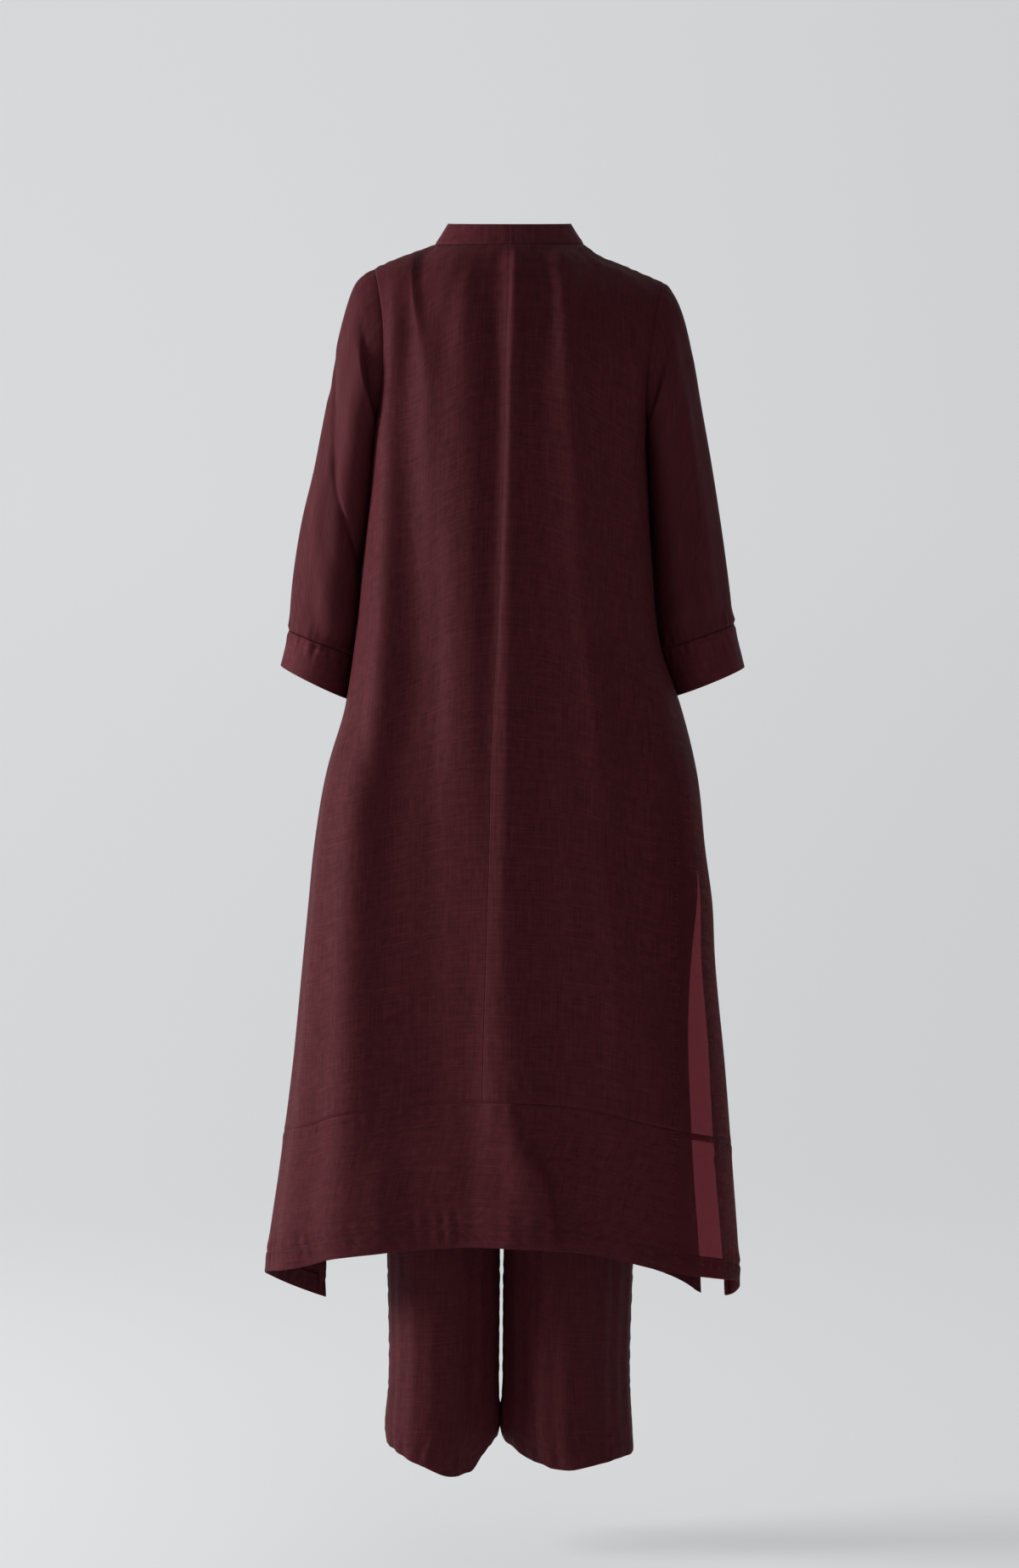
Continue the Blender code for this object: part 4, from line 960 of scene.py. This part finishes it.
def beside(points, line):
    """How far each point is from a line, and how far along the line it lies."""
    line = line[np.isfinite(line[:, 0])]
    length = steps_along(line)
    along = np.arange(0.0, length[-1], LINE_STEP)
    dense = sampled(line, length, along)
    distance = np.full(points.shape[:-1], np.inf)
    nearest = np.zeros(points.shape[:-1])
    for index, row in enumerate(points):
        away = np.linalg.norm(row[:, None] - dense[None], axis=-1)
        away = np.where(np.isfinite(away), away, np.inf)
        distance[index] = away.min(axis=1)
        nearest[index] = along[away.argmin(axis=1)]
    return distance, nearest


def ripples(along, lengths, seed):
    """Uneven ripples along a line, between about -1 and 1."""
    random = np.random.default_rng(seed)
    total = np.zeros(np.shape(along))
    for _ in range(WAVE_COUNT):
        total = total + np.sin(2 * np.pi * (along / random.uniform(*lengths) + random.uniform()))
    return total * math.sqrt(2 / WAVE_COUNT)


def waves(angle, along, numbers, seed):
    """Soft uneven waves round a piece, which run mostly up and down it and close on themselves."""
    random = np.random.default_rng(seed)
    total = np.zeros(np.broadcast(angle, along).shape)
    for _ in range(WAVE_COUNT):
        number, lean = random.integers(*numbers), random.uniform(-WAVE_LEAN, WAVE_LEAN)
        total = total + np.sin(number * angle + lean * along + random.uniform(0, 2 * np.pi))
    return total * math.sqrt(2 / WAVE_COUNT)


def seam_relief(points, line, pucker, seed):
    """Height of the cloth beside a seam or row of stitches: a low roll, and puckers that fade."""
    distance, along = beside(points, line)
    height = SEAM_ROLL * (1 - bell(distance, ROLL_NEAR)) * bell(distance, ROLL_FAR)
    reach = (1 - bell(distance, PUCKER_NEAR)) * bell(distance, PUCKER_REACH)
    return height + pucker * reach * ripples(along, PUCKER_LENGTHS, seed)


def raised(points, height, closed=False, middle=AXIS):
    return points + outward(points, closed, middle) * height[..., None]


def turned_rows(points, out, width, radius):
    """Rows that fold a grid's first row back inside by a width, and that row drawn in to suit."""
    away = unit(points[0] - points[1])
    edge = points[0] - radius * away
    reach = np.nanmean(steps_along(points), axis=1)
    last = max(1, int(np.argmin(np.abs(reach - width))))
    inner = (points - 2 * radius * out)[1 : last + 1]
    arc = [
        edge + radius * (np.cos(angle) - 1) * out[0] + radius * np.sin(angle) * away
        for angle in np.radians(TURN_ARC)
    ]
    return np.concatenate([inner[::-1], np.array(arc)]), edge


def with_turnings(piece):
    """A piece's grid with some of its edges turned under, and its origin's row and column. Each
    turning has a width, a radius and, on a side that is only open in part, the rows where it is."""
    out = outward(piece.points, piece.closed, piece.middle)
    points = piece.points.copy()
    added = {}
    for name, sideways, step in GRID_EDGES:
        grid, ways = (points.swapaxes(0, 1), out.swapaxes(0, 1)) if sideways else (points, out)
        grid, ways = grid[::step], ways[::step]
        rows = grid[:0]
        if name in piece.turnings:
            width, radius, *where = piece.turnings[name]
            where = where[0] if where else np.ones(grid.shape[1], bool)
            rows, edge = turned_rows(grid, ways, width, radius)
            rows[:, ~where] = np.nan
            grid[0, where] = edge[where]
        added[name] = rows[::step].swapaxes(0, 1) if sideways else rows[::step]
    left, right = added["first_column"], added["last_column"]
    before, after = (
        np.concatenate([blank(len(rows), left.shape[1]), rows, blank(len(rows), right.shape[1])], axis=1)
        for rows in (added["first_row"], added["last_row"])
    )
    main_rows = np.concatenate([left, points, right], axis=1)
    return np.concatenate([before, main_rows, after]), (len(before), left.shape[1])


def cloth_places(points, origin):
    """Each point's place on the flat cloth, in metres, measured from the origin's row and column.
    One more column at the end is the first one again, for a grid that closes on itself."""
    ring = np.concatenate([points, points[:, :1]], axis=1)
    across = steps_along(ring.swapaxes(0, 1)).swapaxes(0, 1)
    along = steps_along(ring)
    across = across - across[:, origin[1], None]
    along = along - along[None, origin[0]]
    return np.stack([across, along], axis=-1)


def shell_mesh(name, points, piece, origin):
    """A closed thin shell of cloth. The grid is its right side, and its wrong side lies one
    thickness inside."""
    corners, places = grid_corners(points, piece.closed, piece.middle)
    flat = points.reshape(-1, 3)
    inner = flat - CLOTH * point_normals(flat, corners)
    under = len(flat)

    starts, ends = corners.ravel(), np.roll(corners, -1, axis=1).ravel()
    rim = ~np.isin(starts * under + ends, ends * under + starts)
    a, b = starts[rim], ends[rim]
    place_a, place_b = places.ravel()[rim], np.roll(places, -1, axis=1).ravel()[rim]
    rims = np.stack([b, a, a + under, b + under], axis=-1)
    faces = np.concatenate([corners, corners[:, ::-1] + under, rims])
    rim_places = np.stack([place_b, place_a, place_a, place_b], axis=-1)
    face_places = np.concatenate([places, places[:, ::-1], rim_places])

    both = np.concatenate([flat, inner])
    used = np.isfinite(both[:, 0])
    number = np.cumsum(used) - 1
    mesh = bpy.data.meshes.new(name)
    mesh.from_pydata(both[used].tolist(), [], number[faces].tolist())
    spots = cloth_places(points, origin).reshape(-1, 2)[face_places.ravel()]
    mesh.uv_layers.new(name="cloth").data.foreach_set("uv", spots.ravel())
    mesh.shade_smooth()
    return mesh


def cut_size(points, closed, origin):
    """Width, length and area of the flat cut of a piece, its turnings among them."""
    places = cloth_places(points, origin)
    if not closed:
        places = places[:, :-1]
    there = np.isfinite(np.concatenate([points, points[:, :1]], axis=1)[..., 0])[:, : places.shape[1]]
    shown = places[there]
    width, length = shown.max(axis=0) - shown.min(axis=0)
    corners, _ = grid_corners(points, closed, points[there[:, : points.shape[1]]].mean(axis=0))
    area = np.linalg.norm(face_crosses(points.reshape(-1, 3), corners), axis=1).sum() / 2
    return width, length, min(area, width * length)


def stitch_mesh(name, lines):
    """Short stitches along lines on the cloth. Each line has its points and ways out."""
    corners, faces = [], []
    for line, out in lines:
        there = np.isfinite(line[:, 0])
        line, out = line[there], out[there]
        length = steps_along(line)
        middles = np.arange(STITCH_PITCH, length[-1] - STITCH_PITCH, STITCH_PITCH)
        start = sampled(line, length, middles - STITCH_LENGTH / 2)
        end = sampled(line, length, middles + STITCH_LENGTH / 2)
        up = sampled(out, length, middles)
        across = unit(np.cross(end - start, up))
        for first, last, lift, wide in zip(start, end, up, across):
            base = len(corners)
            for spot, height, reach in itertools.product((first, last), STITCH_HEIGHTS, STITCH_REACHES):
                corners.append(spot + STITCH_THICKNESS * (height * lift + reach * wide))
            faces += [[base + corner for corner in face] for face in BOX_FACES]
    mesh = bpy.data.meshes.new(name)
    mesh.from_pydata([tuple(corner) for corner in corners], [], faces)
    return mesh


def body_angle(points):
    """The turn round the body at each point, in radians."""
    return np.arctan2(points[..., 0], -points[..., 1])


def drape_height(points, face):
    """Height of the main creases on one face of the tunic."""
    x, z = points[..., 0], points[..., 2]
    height = np.zeros(x.shape)
    for crease in named(DRAPE):
        if crease.face != face:
            continue
        levels, places, rises = (
            [getattr(crease, f"{kind}_{level}") for level in ("low", "middle", "top")]
            for kind in ("z", "x", "rise")
        )
        path = np.polyfit(levels, places, 2)
        away = x - np.polyval(path, np.clip(z, levels[0] - DRAPE_FADE, levels[2] + DRAPE_FADE))
        foot = np.clip((levels[2] - z) / (levels[2] - levels[0]), 0.0, 1.0)
        width = np.where(away < 0, crease.left, crease.right) * (1 + (crease.spread - 1) * foot)
        fade = ease(1 + (levels[2] - z) / DRAPE_FADE) * ease(1 + (z - levels[0]) / DRAPE_FADE)
        height = height + np.interp(z, levels, rises) * fade * bell(away, width)
    return height * side_calm(np.degrees(body_angle(points)), z)


def calm_near(points, lines):
    """0 at the lines and 1 away from them."""
    return 1 - bell(np.min([beside(points, line)[0] for line in lines], axis=0), CALM_DISTANCE)


def hanging_relief(points, face):
    """The tunic's unevenness and its main creases."""
    height = BODY_WAVE * waves(body_angle(points), points[..., 2], BODY_WAVE_NUMBERS, BODY_SEED)
    return height + drape_height(points, face)


def stitch_line(points, rows, columns, middle=AXIS):
    """A line of a grid's points for stitches, and the ways out along it."""
    return points[rows, columns], outward(points, False, middle)[rows, columns]


def tunic_panel(side, face):
    """A tunic panel with the relief of its seams, and its open slit edge turned under."""
    points = body_panel(side, face)
    armhole = armhole_edge(side, face, np.linspace(0.0, 180.0, ARMHOLE_LINE_POINTS))
    neck = points[-1, : neck_columns()]
    shoulder = points[-1, neck_columns() - 1 : -SIDE_STEPS]
    height = hanging_relief(points, face) * calm_near(points, (armhole, neck, shoulder))
    for seed, line in enumerate((armhole, neck, shoulder, points[:, -1], points[0])):
        height = height + seam_relief(points, line, SEAM_PUCKER, seed)
    if (side, face) == (RIGHT, BACK):
        height = height + seam_ridge(points)
    points = raised(points, height)
    points = np.concatenate([seam_allowance(points), points])
    open_rows = points[:, -1, 2] < SLIT_TOP
    turnings = {"last_column": (SLIT_TURN, SIDE_TURN_RADIUS, open_rows)}
    if face == FRONT:
        turnings["first_column"] = (SEAM_ALLOWANCE, TURN_RADIUS, points[:, 0, 2] > NECK_SLIT_END)
    return Piece(points, turnings, [stitch_line(points, open_rows, -1 - SLIT_STITCH_COLUMNS)])


def seam_allowance(points):
    """The cloth of a panel that goes on behind the hem band, below their seam."""
    out = outward(points)[0]
    down = unit(points[0] - points[1])
    rows = [points[0] + reach * SEAM_ALLOWANCE * down - depth * out for reach, depth in ALLOWANCE_ROWS]
    return np.array(rows)


def seam_ridge(points):
    """The turnings of the centre-back seam lift the cloth on its right."""
    from_seam = steps_along(points.swapaxes(0, 1)).swapaxes(0, 1)
    z = points[..., 2]
    thinned = ease((RIDGE_THIN_FROM - z) / (RIDGE_THIN_FROM - RIDGE_THIN_TO))
    rise = RIDGE_RISE * (1 - (1 - RIDGE_LEAST) * thinned) * bell(from_seam - RIDGE_PLACE, RIDGE_WIDTH)
    away_from_neck = 1 - bell(points[-1, 0, 2] - z, ROLL_FAR)
    return rise * away_from_neck * ease(from_seam / RIDGE_PLACE)


def band_panel(face):
    """The hem band with its seam, its stitched hem and its slit edges."""
    points = hem_band(face)
    hem_row = int(round(HEM_TURN / BAND_HEIGHT * BAND_ROWS))
    height = hanging_relief(points, face)
    height = height + seam_relief(points, points[-1], SEAM_PUCKER, BAND_SEED)
    height = height + seam_relief(points, points[hem_row], HEM_PUCKER, BAND_SEED + 1)
    points = raised(points, height)
    slit_turn = (SLIT_TURN, SIDE_TURN_RADIUS)
    turnings = {"first_row": (HEM_TURN, TURN_RADIUS), "first_column": slit_turn, "last_column": slit_turn}
    lines = [stitch_line(points, hem_row - 1, slice(None))]
    for column in (BAND_STITCH_COLUMNS, -1 - BAND_STITCH_COLUMNS):
        lines.append(stitch_line(points, slice(hem_row, None), column))
    return Piece(points, turnings, lines)


def sleeve_tube(side):
    points = sleeve(side)
    angle, share = np.radians(ring_turns())[None, :], np.linspace(0, 1, SLEEVE_RINGS)[:, None]
    uneven = waves(angle, SLEEVE_WAVE_TWIST * share, SLEEVE_WAVE_NUMBERS, SLEEVE_SEED + side)
    height = SLEEVE_WAVE * calm_near(points, (points[0], points[-1])) * uneven
    height = height + crease_height(FINE_CREASES[side], share)
    height = height + seam_relief(points, closed_line(points[0]), SEAM_PUCKER, SLEEVE_SEED)
    height = height + seam_relief(points, closed_line(points[-1]), CUFF_PUCKER, SLEEVE_SEED + 2)
    height = height + seam_relief(points, points[:, 0], SEAM_PUCKER, SLEEVE_SEED + 3)
    return tube(points, height, {})


def cuff_tube(side):
    points = cuff(side)
    height = seam_relief(points, closed_line(points[0]), CUFF_PUCKER, CUFF_SEED + side)
    return tube(points, height, {"last_row": FOLDED_DOUBLE})


def tube(points, height, turnings):
    """A raised piece that closes on itself round its own middle."""
    points = raised(points, height, True, mean_point(points))
    return Piece(points, turnings, [], True, mean_point(points))


def collar_band(side):
    points = collar_half(side)
    points = raised(points, seam_relief(points, points[0], SEAM_PUCKER, COLLAR_SEED + side))
    return Piece(points, {"last_row": FOLDED_DOUBLE})


def leg_panel(side, face):
    points = trouser_panel(side, face)
    middle = mean_point(points)
    angle = np.radians(-face * np.linspace(0.0, 180.0, LEG_STEPS + 1))[None, :]
    seams = (points[:, 0], points[:, -1])
    calm = calm_near(points, seams)
    height = LEG_WAVE * calm * waves(angle, points[..., 2], LEG_WAVE_NUMBERS, LEG_SEED + 2 * side + face)
    hem_row = len(points) - 1 - LEG_HEM_ROWS
    for seed, line in enumerate(seams):
        height = height + seam_relief(points, line, SEAM_PUCKER, LEG_SEED + seed)
    height = height + calm * seam_relief(points, points[hem_row], HEM_PUCKER, LEG_SEED + 2)
    points = raised(points, height, False, middle)
    stitches = stitch_line(points, hem_row + 1, slice(None), middle)
    return Piece(points, {"last_row": (LEG_HEM_TURN, TURN_RADIUS)}, [stitches], False, mean_point(points))


def closed_line(ring):
    return np.concatenate([ring, ring[:1]])


def mean_point(points):
    return np.nanmean(points, axis=(0, 1))


def node(tree, kind, inputs, **settings):
    """A shader node with its inputs set or linked."""
    made = tree.nodes.new(kind)
    for key, value in settings.items():
        setattr(made, key, value)
    for key, value in inputs.items():
        if isinstance(value, bpy.types.NodeSocket):
            tree.links.new(value, made.inputs[key])
        else:
            made.inputs[key].default_value = value
    return made


def yarn_noise(tree, place, scale, detail):
    """Noise drawn out along the yarns: scale is per metre across and along the cloth."""
    mapped = node(tree, "ShaderNodeMapping", {"Vector": place, "Scale": (*scale, 1.0)})
    noise = node(tree, "ShaderNodeTexNoise", {"Vector": mapped.outputs[0], "Scale": 1.0, "Detail": detail})
    return noise.outputs[0]


def combine(tree, operation, first, second, **settings):
    return node(tree, "ShaderNodeMath", {0: first, 1: second}, operation=operation, **settings).outputs[0]


def spread(tree, value, source, target=(0.0, 1.0)):
    """A value moved from one range to another, and held within it."""
    ends = {"From Min": source[0], "From Max": source[1], "To Min": target[0], "To Max": target[1]}
    return node(tree, "ShaderNodeMapRange", {"Value": value, **ends}).outputs[0]


def new_material(name):
    material = bpy.data.materials.new(name)
    material.use_nodes = True
    return material, material.node_tree


def cloth_material(cloth):
    """Sheer slub crepe: uneven yarns both ways, a fine plain weave and a soft sheen."""
    material, tree = new_material(cloth.slot)
    tree.nodes.clear()
    place = node(tree, "ShaderNodeUVMap", {}, uv_map="cloth").outputs[0]
    yarns = 0.0
    for noise in named(YARN_NOISES):
        value = yarn_noise(tree, place, (noise.across, noise.along), noise.detail)
        yarns = combine(tree, "ADD", yarns, combine(tree, "MULTIPLY", value, noise.share))
    slubs = spread(tree, yarn_noise(tree, place, SLUB_SCALE, SLUB_DETAIL), SLUB_RANGE)
    height = combine(tree, "ADD", weave_height(tree, place), combine(tree, "MULTIPLY", yarns, YARN_HEIGHT))
    height = combine(tree, "ADD", height, combine(tree, "MULTIPLY", slubs, SLUB_HEIGHT))
    relief = {"Strength": WEAVE_STRENGTH, "Distance": WEAVE_DEPTH, "Height": height}
    bump = node(tree, "ShaderNodeBump", relief).outputs[0]
    look = {
        "Base Color": yarn_colour(tree, cloth, yarns, slubs),
        "Roughness": spread(tree, yarns, YARN_RANGE, CLOTH_ROUGHNESS),
        "Specular IOR Level": CLOTH_SPECULAR,
        "Sheen Weight": CLOTH_SHEEN,
        "Sheen Roughness": SHEEN_ROUGHNESS,
        "Sheen Tint": SHEEN_TINT,
        "Normal": bump,
    }
    surface = node(tree, "ShaderNodeBsdfPrincipled", look).outputs[0]
    scattered = node(tree, "ShaderNodeBsdfTranslucent", {"Color": THROUGH_TINT, "Normal": bump})
    clear = node(tree, "ShaderNodeBsdfTransparent", {"Color": THROUGH_TINT})
    for share, other in ((cloth.scattered, scattered), (sheer_share(tree, cloth, yarns), clear)):
        mix = {0: share, 1: surface, 2: other.outputs[0]}
        surface = node(tree, "ShaderNodeMixShader", mix).outputs[0]
    node(tree, "ShaderNodeOutputMaterial", {"Surface": surface})
    return material


def yarn_colour(tree, cloth, yarns, slubs):
    """The cloth's colour, from its dark yarns to its light ones and the slubs."""
    lighter = combine(tree, "MULTIPLY", slubs, SLUB_TONE)
    tone = combine(tree, "ADD", spread(tree, yarns, TONE_RANGE), lighter, use_clamp=True)
    inputs = {"Factor": tone, 6: (*cloth.dark, 1.0), 7: (*cloth.light, 1.0)}
    return node(tree, "ShaderNodeMix", inputs, data_type="RGBA").outputs[2]


def sheer_share(tree, cloth, yarns):
    """How much light passes between the yarns, within the sheer limits. Outside them none does, as painted
    shade for the absent wearer.
    """
    sheer = combine(tree, "MULTIPLY", spread(tree, yarns, YARN_RANGE, OPENNESS), cloth.sheer)
    spot = node(tree, "ShaderNodeSeparateXYZ", {0: node(tree, "ShaderNodeTexCoord", {}).outputs["Object"]})
    for axis, none, full in SHEER_LIMITS:
        sheer = combine(tree, "MULTIPLY", sheer, spread(tree, spot.outputs[axis], (none, full)))
    return sheer


def weave_height(tree, place):
    """A plain weave: yarns that rise and dip both ways."""
    inputs = {"Vector": place, "Scale": WEAVE_SCALE, "Distortion": 0.0}
    ways = [
        node(tree, "ShaderNodeTexWave", inputs, wave_type="BANDS", bands_direction=way).outputs[1]
        for way in ("X", "Y")
    ]
    return combine(tree, "MAXIMUM", *ways)


def plain_material(name, colour, roughness, grain, glow=0.0):
    """A plain surface with a fine grain, which may give off light of its own colour."""
    material, tree = new_material(name)
    noise = node(tree, "ShaderNodeTexNoise", {"Scale": grain, "Detail": GRAIN_DETAIL})
    relief = {"Strength": GRAIN_STRENGTH, "Distance": GRAIN_DEPTH, "Height": noise.outputs[0]}
    inputs = tree.nodes["Principled BSDF"].inputs
    tree.links.new(node(tree, "ShaderNodeBump", relief).outputs[0], inputs["Normal"])
    inputs["Base Color"].default_value = colour
    inputs["Emission Color"].default_value = colour
    inputs["Emission Strength"].default_value = glow
    inputs["Roughness"].default_value = roughness
    return material


def add_object(name, mesh, material):
    mesh.materials.append(material)
    made = bpy.data.objects.new(name, mesh)
    bpy.context.scene.collection.objects.link(made)
    return made


def add_stage():
    """A pale floor that curves up into the backdrop."""
    profile = [(FLOOR_FRONT, FLOOR_Z), (FLOOR_BACK, FLOOR_Z)]
    for angle in np.radians(np.linspace(0, 90, FLOOR_CURVE_STEPS + 1)[1:]):
        rise = FLOOR_CURVE * (1 - math.cos(angle))
        profile.append((FLOOR_BACK + FLOOR_CURVE * math.sin(angle), FLOOR_Z + rise))
    profile.append((FLOOR_BACK + FLOOR_CURVE, FLOOR_TOP))
    points = [(x, y, z) for y, z in profile for x in (-FLOOR_HALF_WIDTH, FLOOR_HALF_WIDTH)]
    faces = [(2 * i, 2 * i + 1, 2 * i + 3, 2 * i + 2) for i in range(len(profile) - 1)]
    mesh = bpy.data.meshes.new("studio")
    mesh.from_pydata(points, [], faces)
    mesh.shade_smooth()
    surface = plain_material("studio", FLOOR_COLOUR, FLOOR_ROUGHNESS, FLOOR_GRAIN, FLOOR_GLOW)
    add_object("studio", mesh, surface)


def add_light(light):
    data = bpy.data.lights.new(light.name, "AREA")
    data.shape = "DISK"
    data.size = light.size
    data.energy = light.watts
    made = bpy.data.objects.new(light.name, data)
    made.location = light.place
    way = Vector(light.target) - Vector(light.place)
    made.rotation_euler = way.to_track_quat("-Z", "Y").to_euler()
    bpy.context.scene.collection.objects.link(made)


def add_studio():
    scene = bpy.context.scene
    scene.view_settings.view_transform = "Standard"
    world = bpy.data.worlds.new("studio")
    scene.world = world
    world.use_nodes = True
    background = world.node_tree.nodes["Background"]
    background.inputs["Color"].default_value = WORLD_COLOUR
    background.inputs["Strength"].default_value = WORLD_STRENGTH
    add_stage()
    for light in named(LIGHTS):
        add_light(light)
    data = bpy.data.cameras.new("camera")
    data.lens = CAMERA_LENS
    data.sensor_width = CAMERA_SENSOR
    camera = bpy.data.objects.new("camera", data)
    camera.location = CAMERA_PLACE
    camera.rotation_euler = (math.radians(90.0), 0.0, 0.0)
    scene.collection.objects.link(camera)
    scene.camera = camera


def add_cloth(name, slot, materials, piece):
    """A cloth piece in place of its solid, with its stitches. The size that it was cut to is worked out but
    not kept.
    """
    points, origin = with_turnings(piece)
    cloth = add_object(f"{name}_cloth", shell_mesh(name, points, piece, origin), materials[slot])
    extras = []
    if piece.lines:
        stitches = stitch_mesh(f"{name}_stitches", piece.lines)
        extras = [add_object(f"{name}_stitches", stitches, materials["thread"])]
    for made in (cloth, *extras):
        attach(made, "root")
    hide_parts(name)
    width, length, area = cut_size(points, piece.closed, origin)


def main():
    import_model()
    materials = {cloth.slot: cloth_material(cloth) for cloth in named(CLOTHS)}
    materials["thread"] = plain_material("thread", THREAD_COLOUR, THREAD_ROUGHNESS, THREAD_GRAIN)

    def add(name, slot, piece):
        add_cloth(name, slot, materials, piece)

    for side, word in SIDE_NAMES.items():
        add(f"tunic_back_{word}", "tunic_cloth", tunic_panel(side, BACK))
        add(f"tunic_front_{word}", "tunic_cloth", tunic_panel(side, FRONT))
        add(f"collar_{word}", "band_cloth", collar_band(side))
        add(f"sleeve_{word}", "tunic_cloth", sleeve_tube(side))
        add(f"cuff_{word}", "band_cloth", cuff_tube(side))
        for face, place in FACE_NAMES.items():
            leg = leg_panel(side, face)
            add(f"trouser_{place}_{word}", "trouser_cloth", leg)
    add("hem_band_back", "tunic_cloth", band_panel(BACK))
    add("hem_band_front", "tunic_cloth", band_panel(FRONT))
    band = Piece(waistband(), {"last_row": FOLDED_DOUBLE}, [], closed=True)
    add("trouser_waistband", "trouser_cloth", band)
    add_studio()


main()
